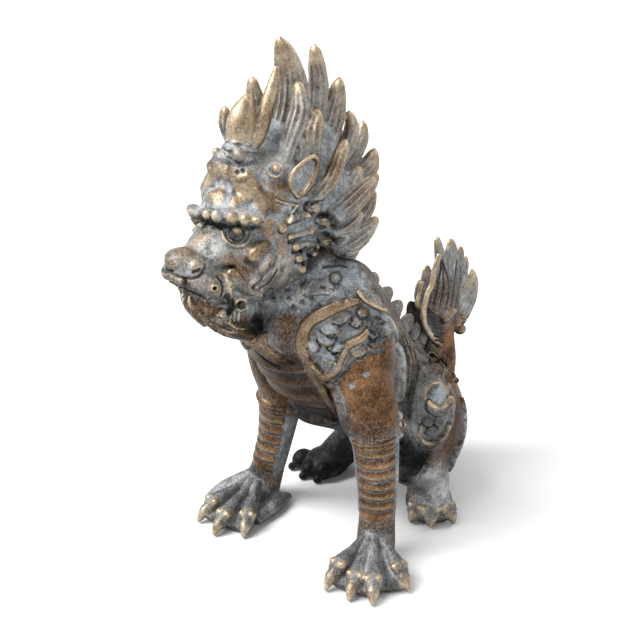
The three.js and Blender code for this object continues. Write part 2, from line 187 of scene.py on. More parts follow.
def path_point(points, t):
    """Points of the centripetal curve through the given ones, which are spread evenly over t."""
    points = np.asarray(points, float)
    first = 2 * points[:1] - points[1:2]
    last = 2 * points[-1:] - points[-2:-1]
    points = np.concatenate([first, points, last])
    spot = np.clip(t, 0, 1) * (len(points) - 3)
    index = np.minimum(spot.astype(int), len(points) - 4)
    share = (spot - index)[:, None]
    p0, p1, p2, p3 = (points[index + k] for k in range(4))
    d0, d1, d2 = (np.maximum(np.linalg.norm(b - a, axis=1), 1e-6)[:, None] ** 0.5
                  for a, b in ((p0, p1), (p1, p2), (p2, p3)))
    m1 = ((p1 - p0) / d0 - (p2 - p0) / (d0 + d1) + (p2 - p1) / d1) * d1
    m2 = ((p2 - p1) / d1 - (p3 - p1) / (d1 + d2) + (p3 - p2) / d2) * d1
    square, cube = share ** 2, share ** 3
    return (p1 * (2 * cube - 3 * square + 1) + m1 * (cube - 2 * square + share)
            + p2 * (3 * square - 2 * cube) + m2 * (cube - square))


def path_way(points, t):
    """Which way that curve runs at t."""
    way = path_point(points, t + 0.004) - path_point(points, t - 0.004)
    return way / np.maximum(np.linalg.norm(way, axis=1), 1e-9)[:, None]


def coordinates(mesh, what="co"):
    """The places of a mesh's vertices, or their normals."""
    flat = np.empty(len(mesh.vertices) * 3, np.float32)
    mesh.vertices.foreach_get(what, flat)
    return flat.reshape(-1, 3).astype(float)


def write_places(mesh, places):
    mesh.vertices.foreach_set("co", places.astype(np.float32).ravel())


def as_template(shape):
    """A mesh to copy, with the places of its vertices."""
    mesh = bpy.data.meshes.new("template")
    shape.to_mesh(mesh)
    shape.free()
    return mesh, coordinates(mesh)


@functools.cache
def tube(sides, rings):
    """An upright cylinder of radius 1 and height 1, cut into rings."""
    shape = bmesh.new()
    bmesh.ops.create_cone(shape, cap_ends=True, cap_tris=True, segments=sides,
                          radius1=1, radius2=1, depth=1)
    rising = [e for e in shape.edges if abs(e.verts[0].co.z - e.verts[1].co.z) > 0.5]
    bmesh.ops.subdivide_edges(shape, edges=rising, cuts=rings - 1, use_grid_fill=True)
    return as_template(shape)


@functools.cache
def globe(segments, rings):
    shape = bmesh.new()
    bmesh.ops.create_uvsphere(shape, u_segments=segments, v_segments=rings, radius=1)
    return as_template(shape)


class Casting:
    """Overlapping closed forms that are later cast into one skin, with a coat at each vertex.

    Each form is made for the left side, and hands says on which sides it stands.
    """

    def __init__(self, base=None, ground=PLAIN):
        self.shape = bmesh.new()
        self.coats = []
        self.strokes = []
        if base:
            self.shape.from_mesh(base)
            self.coats.append(np.tile(np.asarray(ground, float), (len(base.vertices), 1)))

    def add(self, template, places, coat, hands):
        for hand in hands:
            mesh = template.copy()
            write_places(mesh, places * [hand, 1, 1])
            if hand < 0:
                mesh.flip_normals()
            self.shape.from_mesh(mesh)
            bpy.data.meshes.remove(mesh)
            self.coats.append(np.broadcast_to(np.asarray(coat, float), (len(places), 4)))

    def ball(self, centre, halves, turns=(0, 0, 0), coat=PLAIN, hands=LEFT, detail=BALL):
        template, places = globe(*detail)
        turned = Matrix.Rotation(math.radians(turns[2]), 3, "Z") @ Matrix.Rotation(
            math.radians(turns[1]), 3, "Y") @ Matrix.Rotation(math.radians(turns[0]), 3, "X")
        self.add(template, (places * halves) @ np.array(turned).T + centre, coat, hands)

    def sweep(self, path, widths, depths=None, side=(1, 0, 0), sides=16, rings=20, skin=None,
              coat=PLAIN, hands=LEFT):
        """A tapering body along a path, its half-widths measured towards side.

        skin(t, angle) may shift and swell it, and coat may be a like function.
        """
        template, unit = tube(sides, rings)
        t = unit[:, 2] + 0.5
        angle = np.arctan2(unit[:, 1], unit[:, 0])
        radius = np.hypot(unit[:, 0], unit[:, 1])
        swell = np.ones_like(t)
        if callable(coat):
            coat = coat(t, angle)
        if skin:
            t, swell = skin(t, angle)
        centre = path_point(path, t)
        way = path_way(path, t)
        out = np.broadcast_to(np.asarray(side, float), way.shape)
        out = out - way * np.sum(out * way, axis=1)[:, None]
        out = out / np.maximum(np.linalg.norm(out, axis=1), 1e-9)[:, None]
        rise = np.cross(out, way)
        depths = widths if depths is None else depths
        across = np.cos(angle) * radius * swell * along(widths, t)
        upward = np.sin(angle) * radius * swell * along(depths, t)
        self.add(template, centre + out * across[:, None] + rise * upward[:, None], coat, hands)

    def finish(self, name):
        mesh = bpy.data.meshes.new(name)
        self.shape.to_mesh(mesh)
        self.shape.free()
        return mesh, np.concatenate(self.coats)


def modified(mesh, *modifiers):
    """The mesh after a row of modifiers, each given as its type and its settings."""
    holder = linked(bpy.data.objects.new("holder", mesh))
    for kind, settings in modifiers:
        modifier = holder.modifiers.new(kind.lower(), kind)
        for key, value in settings.items():
            setattr(modifier, key, value)
    depsgraph = bpy.context.evaluated_depsgraph_get()
    result = bpy.data.meshes.new_from_object(holder.evaluated_get(depsgraph))
    bpy.data.objects.remove(holder)
    return result


def skin_tree(mesh):
    """The mesh's faces, ready to be searched for the skin nearest to a place or along a ray."""
    polygons = [tuple(p.vertices) for p in mesh.polygons]
    return BVHTree.FromPolygons([v.co for v in mesh.vertices], polygons)


# Ribs of the trunk from the rump to the neck: back (y, z), belly (y, z) and half-width.
RIBS = (
    ((34, 11), (26, -1), 6.5),
    ((33, 18), (16, 3), 10.5),
    ((27.4, 25.5), (9, 13), 12),
    ((21, 32), (0.5, 21.6), 12),
    ((16.2, 38), (-8.5, 27), 12.2),
    ((12, 44.5), (-15.6, 32.6), 13),
    ((8, 50.5), (-19.6, 39.4), 13),
    ((3, 56), (-23, 46.4), 11.8),
    ((-3, 61), (-21.6, 52), 9.6),
    ((-6, 66), (-18.5, 58), 8.2),
)
TRUNK_SIDES = 40
TRUNK_RINGS = 40
# Where the grooves between the chest scutes lie, along the ribs.
CHEST_LINES = (0.43, 0.49, 0.55, 0.61, 0.67)


def trunk_point(t, angle):
    """Points of the trunk's skin: angle 0 is the spine and half a turn is the belly."""
    back_y, back_z = (along([rib[0][k] for rib in RIBS], t) for k in (0, 1))
    belly_y, belly_z = (along([rib[1][k] for rib in RIBS], t) for k in (0, 1))
    half = along([rib[2] for rib in RIBS], t)
    return np.stack([
        half * np.sin(angle),
        (back_y + belly_y) / 2 + (back_y - belly_y) / 2 * np.cos(angle),
        (back_z + belly_z) / 2 + (back_z - belly_z) / 2 * np.cos(angle),
    ], axis=1)


def add_trunk(casting):
    template, unit = tube(TRUNK_SIDES, TRUNK_RINGS)
    t = unit[:, 2] + 0.5
    radius = np.hypot(unit[:, 0], unit[:, 1])[:, None]
    skin = trunk_point(t, np.arctan2(unit[:, 1], unit[:, 0]))
    middle = trunk_point(t, np.full_like(t, math.pi / 2)) * [0, 1, 1]
    casting.add(template, middle + (skin - middle) * radius, PLAIN, LEFT)


# Lower forelegs from the elbow to the ankle, and their half-widths.
LEFT_SHIN = ((15.4, -6.8, 32), (16.3, -6.4, 25), (16.8, -6.2, 17), (17.4, -6.8, 9.6),
             (18.4, -8.2, 2.6))
RIGHT_SHIN = ((-8.6, -7.4, 32), (-9.6, -7.6, 24), (-11.2, -7.7, 16), (-13, -8.2, 9),
              (-14.6, -9.2, 2.6))
LEFT_GIRTHS = (5.2, 4.5, 4.1, 3.6, 4)
RIGHT_GIRTHS = (5.8, 4.4, 3.7, 3.6, 4.1)


def body_masses(casting):
    """Trunk, belly, shoulders, thighs, legs and feet, and the tail up to its tuft."""
    add_trunk(casting)
    casting.sweep(((0, -9, 28.5), (0, -1, 24.5), (0, 7, 19)), (7, 8, 7), (4, 4.4, 4.4))
    casting.ball((9.2, -8.4, 48.6), (5.6, 9.4, 12.4), hands=BOTH, detail=LARGE_BALL)
    casting.ball((12.8, -6.6, 40.6), (5.6, 6.6, 17), detail=LARGE_BALL)
    casting.ball((-11, -7.6, 42), (5.4, 6.6, 17.4), detail=LARGE_BALL)
    casting.ball((11.2, 15, 19.2), (5.6, 10, 14.6), (14, 0, 0), detail=LARGE_BALL)
    casting.ball((-9, 20, 18.6), (5, 8.2, 13.6), (12, 0, 0), detail=LARGE_BALL)
    casting.sweep(((13.4, -6.6, 42), *LEFT_SHIN), (3.6, *LEFT_GIRTHS))
    casting.sweep(((-9.8, -7.4, 42), *RIGHT_SHIN), (4.4, *RIGHT_GIRTHS))
    casting.sweep(((13, 7, 15), (13.2, 12.8, 9), (13.6, 13.2, 3)), (5, 4.4, 4.4), (5.6, 4.8, 4.6))
    casting.sweep(((-6.6, 17, 14), (-9.6, 14, 8), (-12.4, 11, 3.4)), (4, 4.2, 4),
                  (4.6, 4.6, 4.2))
    casting.ball((20, -11.6, 1.8), (5.6, 5.6, 2.6))
    casting.ball((-13.4, -14, 1.8), (5.8, 6, 2.6))
    casting.ball((14.2, 12.8, 2.8), (5.2, 5, 4))
    casting.ball((-13, 9.2, 2.4), (5.2, 5, 3.2))
    casting.sweep(((0, 27, 10), (0, 31, 17.6), (0, 33.6, 23), (0, 33, 30), (0, 32.6, 35)),
                  (4, 3.2, 2.4, 2.2, 2.2), (4.4, 3.6, 2.6, 2.2, 2.2))
    casting.sweep(((0, 27, 27.4), (0, 30, 28.6), (0, 31.6, 32)), (1.6, 1.8, 1.4), (2, 2.2, 1.6))
    tail_plate(casting, PLAIN)


def head_masses(casting):
    """Skull and neck, snout, jaw, brow, cheeks and the back of the jaw."""
    casting.ball((0, -18.4, 71.6), (9.6, 11.2, 11.4), detail=SKULL_BALL)
    casting.ball((0, -11, 71.6), (8.4, 10.2, 11.8), detail=SKULL_BALL)
    casting.sweep(((0, -24, 67), (0, -30, 66.5), (0, -35, 65.1), (0, -38.4, 64.6)),
                  (7.6, 5.8, 4.2, 3), (6.2, 4.2, 2.5, 1.5), sides=24)
    casting.sweep(((0, -22, 62), (0, -29, 62), (0, -36, 62)), (8, 6.4, 3.6), (5, 3.4, 2))
    casting.ball((2.6, -25, 78), (3.4, 3.2, 4.8), (15, 0, 0), hands=BOTH)
    casting.ball((5, -25, 74.6), (3.4, 2.7, 3), hands=BOTH)
    casting.ball((-5.2, -25.6, 73.6), (3.4, 2.9, 3.2))
    casting.ball((6.4, -22.6, 78.6), (2.4, 2.2, 2.4), hands=BOTH)
    casting.ball((7, -26.6, 66), (2.4, 2.8, 2.4), hands=BOTH)
    casting.ball((5.6, -21.4, 64.6), (4.6, 5.4, 5.6), hands=BOTH)
    muzzle(casting)
    casting.ball((0, -12, 81), (5, 9, 6), detail=LARGE_BALL)
    casting.ball((0, -28, 73.4), (6, 3, 2.6), detail=LARGE_BALL)
    casting.ball((0, -28.4, 54.8), (5.2, 5, 4.4))


class Carver:
    """Lays ornament on a mass: places come from the photograph, or from the skin's own points."""

    def __init__(self, casting, base):
        self.casting = casting
        self.tree = skin_tree(base)

    def hit(self, spot):
        """The skin under (u, v) of the photograph, or nearest to a place (x, y, z)."""
        if len(spot) == 2:
            eye = EYE_POINT / SHARE
            place, normal, _, _ = self.tree.ray_cast(eye, Vector(sight(*spot)).normalized())
            if place is not None:
                return np.array(place), np.array(normal)
            spot = seen(*spot, OUTLINE_SIDE)
        place, normal, _, _ = self.tree.find_nearest(Vector(spot))
        return np.array(place), np.array(normal)

    def laid(self, spots):
        """Close points of a smooth line on the skin through the spots, with its normals."""
        path = np.array([self.hit(spot)[0] for spot in spots])
        length = np.linalg.norm(np.diff(path, axis=0), axis=1).sum()
        levels = np.linspace(0, 1, max(3, int(length / STROKE_STEP))) if len(path) > 1 else [0]
        found = [self.hit(place) for place in (path_point(path, levels) if len(path) > 1 else path)]
        centres = np.array([place for place, _ in found])
        normals = np.array([normal for _, normal in found])
        if len(found) > 2:
            for _ in range(LINE_SMOOTHING):
                normals[1:-1] = normals[:-2] + normals[1:-1] * 2 + normals[2:]
                centres[1:-1] = (centres[:-2] + centres[1:-1] * 2 + centres[2:]) / 4
                normals /= np.linalg.norm(normals, axis=1)[:, None]
        return centres, normals

    def sides(self, spots, hands):
        """The spots themselves for the left, and their mirror places on the skin for the right."""
        for hand in hands:
            if hand > 0:
                yield spots
            else:
                yield [self.hit(self.hit(spot)[0] * [-1, 1, 1])[0] for spot in spots]

    def stroke(self, spots, widths, rises=0, coat=None, hands=BOTH, flat=0.0):
        """Raises or sinks the skin along a line, and lays a coat on it."""
        for line in self.sides(spots, hands):
            centres, normals = self.laid(line)
            t = np.linspace(0, 1, len(centres))
            self.casting.strokes.append((centres, normals, along(widths, t), along(rises, t), coat,
                                         flat))

    def work(self, rows, *shared):
        """A stroke for each row of a table, which gives what the strokes do not share."""
        for row in rows:
            self.stroke(*row, *shared)

    def band(self, spots, widths, rise, coat=PLAIN, rim=0.0, hands=BOTH, square=0.6):
        """A raised band on the skin through the spots, with a bright rim down each side."""
        for line in self.sides(spots, hands):
            self.lay_band(*self.laid(line), widths, rise, coat, square, rim)

    def bands(self, rows):
        for row in rows:
            self.band(*row)

    def lay_band(self, centres, normals, widths, rise, coat, square, rim):
        template, unit = tube(BAND_SIDES, len(centres) - 1)
        t = unit[:, 2] + 0.5
        across = np.cross(np.gradient(centres, axis=0), normals)
        across /= np.maximum(np.linalg.norm(across, axis=1), 1e-9)[:, None]
        ring = np.rint(t * (len(centres) - 1)).astype(int)
        angle = np.arctan2(unit[:, 1], unit[:, 0])
        radius = np.hypot(unit[:, 0], unit[:, 1])
        wide = np.sign(np.cos(angle)) * np.abs(np.cos(angle)) ** square
        high = np.sign(np.sin(angle)) * np.abs(np.sin(angle)) ** square
        places = (centres[ring] + across[ring] * (wide * radius * along(widths, t))[:, None]
                  + normals[ring] * (high * radius * along(rise, t))[:, None])
        coats = np.tile(np.asarray(coat, float), (len(places), 1))
        coats[:, 0] += rim * smooth(0.7, 0.95, np.abs(np.cos(angle)))
        self.casting.add(template, places, coats, LEFT)

    def bead(self, spot, radius, coat=BRASS, hands=BOTH, lift=0.3):
        for spots in self.sides([spot], hands):
            place, normal = self.hit(spots[0])
            self.casting.ball(place + normal * radius * lift, (radius, radius, radius), coat=coat,
                              detail=BEAD_BALL)

    def scale(self, left, right, width, coat):
        """An almond scale between two spots, rooted along its top and bright along its free lip."""
        for ends in self.sides((left, right), BOTH):
            self.lay_scale(*ends, width, coat)

    def lay_scale(self, left, right, width, coat):
        start, first = self.hit(left)
        end, second = self.hit(right)
        normal = (first + second) / np.linalg.norm(first + second)
        half = (end - start) / 2
        down = np.cross(normal, half)
        down /= -np.linalg.norm(down) * (1 if down[2] > 0 else -1)
        template, unit = globe(*SCALE_BALL)
        x, y, z = unit.T
        height = z * SCALE_THICKNESS + SCALE_LIFT * smooth(-0.6, 1, y) + 0.25
        places = ((start + end) / 2 + x[:, None] * half + (y * width)[:, None] * down
                  + height[:, None] * normal)
        coats = np.tile(np.asarray(coat, float), (len(places), 1))
        coats[:, 0] = np.maximum(coats[:, 0], 0.9 * smooth(0.45, 0.85, y))
        coats[:, 2] *= 1 - smooth(0.3, 0.8, y)
        self.casting.add(template, places, coats, LEFT)
        # A dark groove of painted shadow under the lip parts the scale from the next one.
        middle = (start + end) / 2 + down * (width + 0.45)
        self.stroke((start + down * 0.3, middle, end + down * 0.3), 0.3, -0.4, (0, 0, 0.2, 0.6),
                    LEFT)


def round_spots(u, v, reach_u, reach_v=None, turns=1.0, start=0.0, end_share=1.0):
    """Spots of the photograph round (u, v): a ring, or a coil that closes in to its middle."""
    reach_v = reach_v or reach_u
    count = max(8, int(12 * abs(turns)))
    spots = []
    for i in range(count + 1):
        share = i / count
        angle = math.radians(start) + turns * 2 * math.pi * share
        reach = 1 + (end_share - 1) * share
        spots.append((u + reach_u * reach * math.cos(angle), v + reach_v * reach * math.sin(angle)))
    return spots


def lock_skin(flutes, depth):
    """Grooves that run along a lock and fade before its rounded tip."""
    def skin(t, angle):
        fade = smooth(0.02, 0.2, t) * (1 - smooth(0.66, 0.9, t))
        groove = 1 - depth * fade * (1 - np.abs(np.cos(angle * flutes / 2))) ** 1.5 * 2
        tip = np.sqrt(np.clip(1 - (np.clip(t - 0.9, 0, 1) / 0.1) ** 2, 0.01, 1))
        return t, groove * tip
    return skin


def lock_coat(flutes, warm, dark):
    """Dust at the root, bright ridges with dark lines of painted shade between them, and a rubbed
    tip.
    """
    def coat(t, angle):
        ridge = np.abs(np.cos(angle * flutes / 2))
        run = smooth(0.05, 0.25, t) * (1 - smooth(0.72, 0.92, t))
        paint = np.zeros((len(t), 4))
        paint[:, 0] = 0.9 * smooth(0.6, 0.95, t) + (0.4 + 0.4 * warm) * ridge ** 2 * run
        paint[:, 1] = (0.25 + 0.6 * warm) * smooth(0.15, 0.5, t)
        paint[:, 2] = (0.95 - 0.4 * warm) * (1 - smooth(0.7, 1, t))
        # Painted shade in the grooves between the ridges.
        paint[:, 3] = 0.9 * run * (1 - ridge) ** 1.2
        return paint * (1 - dark) + np.array([0, 0, 0, dark])
    return coat


def add_lock(casting, path, widths, hands=LEFT, flat=0.85, side=(1, 0, 0), warm=0.0, dark=0.0):
    """A grooved lock through places of the photograph; a wider one has more grooves."""
    widths = np.asarray(widths, float)
    flutes = 2 * max(3, int(round(widths.max() * 2.3)))
    casting.sweep([seen(*point) for point in path], widths, widths * flat, side=side,
                  sides=4 * flutes, rings=26, skin=lock_skin(flutes, 0.2),
                  coat=lock_coat(flutes, warm, dark), hands=hands)


# Mane locks by what the photograph shows: (u, v, x) from root to tip, with half-widths.
CREST_LOCKS = (
    (((276, 157, 0), (282, 138, 0), (289, 112, 0), (291.5, 86, 0), (286.5, 60, 0),
      (278.5, 35.5, 0)), (3.6, 3.6, 3.6, 3.3, 2.5, 0.9)),
    (((311, 135, -1), (316, 112, -1), (318.5, 88, -1), (317, 66, -1), (314, 43.5, -1)),
     (2, 2, 2.1, 1.8, 0.9)),
    (((318, 158, 0), (325, 138, 0), (331, 116, 0), (336, 97, 0), (340, 76.5, 0)),
     (2.4, 2.8, 3, 2.2, 0.7)),
    (((334, 180, -1), (347, 163, -1), (355, 150, -1), (361, 137, -1), (363, 120, -1)),
     (2, 2.1, 2, 1.7, 0.7)),
    (((326, 172, 2), (339, 158, 2), (348, 144, 2), (351.5, 128, 2), (349, 110, 2)),
     (2, 2, 1.9, 1.6, 0.7)),
    (((322, 178, -1), (332, 160, -1), (340, 144, -1), (344, 130, -1)), (3.2, 3.2, 2.6, 1)),
    (((320, 212, 1), (338, 196, 1), (355, 180, 1), (369, 165, 1), (375, 147.5, 1)),
     (2.2, 2.8, 3, 2.3, 0.7)),
    (((346, 232, -1), (359, 218, -1), (368, 204, -1), (373.5, 188, -1)), (2, 2.2, 1.8, 0.8)),
    (((233, 143, -6), (228, 132, -7), (225, 121, -7), (225, 105.5, -7)), (1.3, 1.4, 1.4, 0.7)),
    (((259, 140, -4), (257, 112, -4.6), (254, 94, -4.6), (252, 76, -4.6)), (2.6, 2.4, 1.8, 0.7)),
    (((300, 150, -3), (304, 128, -3), (306, 108, -3), (305, 92, -3)), (2, 2, 1.6, 1)),
    (((340, 264, -1), (350, 250, -1), (355, 238, -1), (357, 226, -1)), (2.2, 2, 1.8, 0.9)),
    (((272, 150, -6), (275, 130, -6.2), (279, 112, -6.2), (282, 98, -5.8), (284, 88, -5.4)),
     (1.8, 2, 2, 1.6, 0.7)),
)
# The locks beside the crest have a warmth of their own too, and the sides on which they stand.
SIDE_LOCKS = (
    (((284, 162, 4.8), (289, 145, 5.4), (296, 125, 5.8), (300, 108, 5.2), (299, 94, 4.6),
      (297.5, 80.5, 3.8)), (1.8, 2, 2.3, 2.2, 1.6, 0.7), 0.2, LEFT),
    (((313, 162, 7.2), (311, 146, 7.8), (312, 131, 7.8), (315, 119, 7.2), (317, 108.5, 6.6)),
     (1.3, 2, 2.2, 1.7, 0.6), 0.7, BOTH),
    (((310, 204, 9.2), (320, 193, 9.8), (330, 181, 10), (335, 168, 9.6), (340, 154, 9),
      (346.5, 139, 8)), (1.3, 1.5, 1.6, 1.5, 1.4, 0.8), 0.9, BOTH),
    (((330, 219, 9), (345, 207, 8.8), (358, 194, 7.4), (369, 183, 5.6), (377, 174, 4.2)),
     (2.3, 2.7, 2.5, 1.8, 0.7), 0.8, BOTH),
    (((335, 250, 8.4), (346, 245, 8.6), (358, 236, 7.8), (369, 227, 6), (377, 217, 4.4)),
     (1.4, 2.8, 2.5, 1.6, 0.7), 0.3, BOTH),
    (((326, 208, 7), (341, 194, 6.2), (352, 180, 5), (359, 167, 4)), (1.5, 2, 2, 1), 0.1, BOTH),
    (((302, 160, 6.8), (303, 148, 7.2), (304, 138, 7), (306, 128, 6.2)), (1.4, 1.5, 1.3, 0.6), 0.1,
     BOTH),
    (((332, 234, 8.4), (341, 230, 8.2), (350, 223, 7.4), (361, 212, 6)), (1, 2, 1.9, 0.8), 0.3,
     BOTH),
)


def mane(casting):
    for path, widths in CREST_LOCKS:
        add_lock(casting, path, widths, warm=0.35)
    for path, widths, warm, hands in SIDE_LOCKS:
        add_lock(casting, path, widths, hands=hands, warm=warm)


# The horn's two prongs and its base from root to tip, and the lines round its foot: a groove with
# painted shade, and behind it a band of pale dust with brass laid on as a painted highlight.
HORN_FRONT = ((241, 150), (241, 138), (241, 126), (243, 113), (246.5, 102), (249.5, 93.5))
HORN_BACK = ((247, 149), (254, 140), (261, 126), (266, 110), (270.5, 94), (274.5, 79), (277, 66))
HORN_BASE = ((239.5, 157), (240, 149), (241, 141))
HORN_LUMP = (239, 156, 3.2)
HORN_LINES = (
    (((230, 163), (240, 165.5), (252, 163), (260, 158)), 0.5, -0.2, (0, 0, 0.3, 0.4)),
    (((256, 152), (268, 158), (280, 163), (290, 167)), 2.6, 0, (0.3, 0, 1, 0)),
)


def crusted(t, angle):
    """Lumps all round the foot of the horn."""
    return t, 1 + 0.1 * np.cos(7 * angle + 5 * t) + 0.09 * np.sin(14 * t)


def horn(casting, carver):
    """A worn forked horn on a lumpy base, with a pale crust of verdigris."""
    worn = (0.9, 0.35, 0.1, 0)
    casting.sweep(seen_path(HORN_FRONT, 1), (2, 2.5, 2.6, 2.2, 1.3, 0.5), coat=worn)
    casting.sweep(seen_path(HORN_BACK, 2.4), (1.2, 1.6, 1.5, 1.3, 1.2, 0.9, 0.4), coat=worn)
    casting.sweep(seen_path(HORN_BASE, 1), (2.3, 2.8, 2.6), sides=36, skin=crusted,
                  coat=(0.1, 0, 0.85, 0))
    casting.ball(seen(*HORN_LUMP), (1.2, 1.2, 1.4), coat=(0.4, 0.2, 0.5, 0))
    carver.work(HORN_LINES)


def muzzle(casting):
    """Brow, snout, upper lip and beard, which the base and the finished skin both hold."""
    casting.sweep(((0, -31.4, 73), (3.4, -31, 73.3), (6.2, -29.2, 73.1), (8.4, -26.6, 72.6)),
                  (0.8, 1, 1, 0.7), (1.9, 1.9, 1.8, 1.2), side=UP, coat=(0.1, 0, 0.5, 0))
    casting.sweep(((0, -31, 73), (-3.2, -31, 72), (-6, -29.8, 70.8), (-7.4, -28.4, 70)),
                  (0.8, 0.9, 0.9, 0.6), (1.7, 1.6, 1.4, 0.9), side=UP, coat=(0.1, 0, 0.4, 0.1))
    casting.ball((0, -37.7, 65.6), (3.3, 3.1, 2.3), coat=(0.45, 0.4, 0.1, 0), detail=LARGE_BALL)
    casting.ball((2.9, -36.4, 65.3), (1.7, 2.6, 1.6), (-8, 0, 14), (0.85, 0.1, 0, 0), BOTH)
    casting.sweep(((0, -39.7, 63.9), (2.4, -39, 63.4), (4.4, -37, 62.5), (5.5, -34.8, 61.6),
                   (5.8, -32.2, 61)), (1.4, 1.5, 1.8, 2.2, 1.9), (1.2, 1.3, 1.4, 1.5, 1.2),
                  side=UP, coat=(0.65, 0.3, 0, 0), hands=BOTH, rings=28)
    # Painted shade darkens the jaw and the beard below it, which lie under the head; the beard is
    # also warm brown metal.
    casting.sweep(((0, -26, 58.6), (0, -31, 59), (0, -35.6, 60)), (7, 5.6, 3.6), (3.4, 2.6, 1.8),
                  coat=(0, 0.2, 0.05, 0.65), sides=24)
    casting.sweep(((0, -35.4, 61), (0, -34.6, 57.8), (0, -32, 54.3), (0, -28.6, 51),
                   (0, -25, 48.6)), (3, 3.6, 3.8, 3.8, 3.4), (2.2, 2.3, 2.2, 2, 1.4), sides=28,
                  coat=(0.05, 0.5, 0, 0.45))


# Beads along the brow: where the photograph shows them, how far left they lie, and their radius.
BROW_BEADS = (
    (207, 214.5, 1.8, 0.8), (217.5, 216, 3.9, 1.05), (232, 217.5, 5.9, 1.1), (245, 220, 7.6, 1),
    (256, 221, 8.7, 0.75), (198, 213.5, -2.6, 0.7), (192, 212, -5.4, 0.8),
)
FAR_BROW = (195, 211, -5.6)
PUPIL = (236.5, 234.5)
# Lids, bed and ring of the eye: spots, half-width, rise, coat and side. The line under the brow is
# a painted shadow, and the hollow by the nose and the ring's groove hold painted shade.
EYE_LINES = (
    (((206, 222.5), (216, 224), (228, 226), (240, 228), (258, 228.5)), 0.5, -0.4, (0, 0, 0, 0.95)),
    (((204, 226), (205, 232)), 0.7, -0.3, (0, 0, 0, 0.9), LEFT),
    (((236.5, 235),), 2.6, 0, (0, 0, 0.6, 0.2)),
    (round_spots(236.5, 235, 6.4, 6), 0.5, -0.2, (0, 0, 0.2, 0.6)),
    ((PUPIL,), 1.1, 0.5, (0.35, 0.5, 0, 0)),
    (((222.5, 233), (225, 241), (232, 246), (240, 246.5), (248, 243), (251, 235)), 0.5, 0.7,
     (0.35, 0, 0.8, 0)),
)
# The snout's bright ridge, its nostril and the line between the lips. The dark in the nostril and
# in the creases is painted shade.
SNOUT_LINES = (
    (((205, 238), (198, 244), (188, 250)), 2.2, 0.05, (0.55, 0.35, 0.2, 0)),
    (((205, 256), (213, 260)), 0.5, -0.3, (0, 0, 0.4, 0.45)),
    (((210, 246), (214, 252), (208, 256)), 0.9, -0.25, (0, 0.2, 0.5, 0.2)),
    (((166.5, 268.5), (173, 274.5), (184, 278), (196, 277.5), (203, 272.5), (205, 264)), 0.42,
     -0.5, (0, 0, 0.15, 0.6)),
    (((193.5, 272), (199, 270)), 0.4, -0.5, (0, 0, 0, 0.8)),
)
# A ringed bead over the temple, and ridges and lumps between the eye and the ear.
TEMPLE_BEADS = (((282, 228.5), 0.9, (0.95, 0, 0, 0)), ((276.4, 169.8), 0.85, (0.7, 0, 0.2, 0)))
TEMPLE_LINES = (
    (round_spots(275, 170.5, 6.8), 0.4, 0.45, (0.1, 0, 0.9, 0)),
    (((275, 200), (284, 203), (296, 205)), 0.45, 0.45, (0.4, 0.5, 0, 0)),
    (((296, 206), (291, 213), (286, 220)), 0.45, 0.7, (0.8, 0.1, 0, 0)),
    (((279, 190),), 2.4, 0.2, (0.3, 0.6, 0.2, 0)),
    (((288, 209),), 1.4, 0.4, (0, 0, 0.9, 0)),
)


def face(casting, carver):
    for u, v, x, size in BROW_BEADS:
        casting.ball(seen(u, v, x), (size, size, size * 1.1), coat=(0.95, 0, 0, 0))
    casting.ball(seen(*FAR_BROW), (1.9, 1.3, 1.1), (0, 12, 0), (0.35, 0.1, 0.2, 0.1))
    place, normal = carver.hit(PUPIL)
    casting.ball(place + normal * 0.5, (1.5, 1.5, 1.5), coat=(0.35, 0.5, 0, 0), hands=BOTH)
    carver.work(EYE_LINES + SNOUT_LINES)
    fish_lip(carver)
    forehead(carver)
    for row in TEMPLE_BEADS:
        carver.bead(*row)
    carver.work(TEMPLE_LINES)
    cheek_hair(carver)


# The fish's eye, gill and back, and the jaw line behind it. The eye's black hole, the gill's dark
# groove and the mouth line hold painted shade, and the dark band under the lip is a painted shadow.
FISH_LINES = (
    (round_spots(214.5, 288, 3.2, 3.4), 0.36, 0.4, (0.9, 0, 0, 0)),
    (((214.5, 288),), 0.42, -0.7, BLACK),
    (((217.5, 277.5), (222, 284), (222.5, 290), (220.5, 297)), 0.36, -0.5, (0, 0, 0.1, 0.85)),
    (((221, 275), (227, 281.5), (229, 290), (226, 299)), 0.6, 0.6, (0.9, 0, 0, 0)),
    (((168, 280.5), (178, 284.5), (191, 290), (205, 296), (217, 298.5)), 0.28, -0.4,
     (0, 0, 0, 0.75)),
    (((174, 291), (186, 297), (199, 302), (213, 305), (226, 303)), 0.8, 0, (0, 0.1, 0, 0.8)),
)
# Strands of the moustache: spots, half-widths, rise, coat and rim.
MOUSTACHE = (
    (((224, 272), (233, 277.5), (241, 283.5), (249, 290), (258, 294)), (0.6, 1, 1.1, 1, 0.5), 1.3,
     (0.3, 0.2, 0.3, 0.1), 0.5),
    (((228, 283), (236, 288), (244, 293)), (0.4, 0.5, 0.3), 0.6, (0.3, 0, 0.5, 0)),
    (((252, 293), (262, 295.5), (276, 295), (289, 292), (303, 289)), (0.6, 0.75, 0.75, 0.7, 0.5),
     0.9, (0.25, 0, 0.8, 0)),
)


def fish_lip(carver):
    """The upper lip ends at each corner in a fish's head: its eye, gill and moustache."""
    carver.work(FISH_LINES)
    carver.bands(MOUSTACHE)


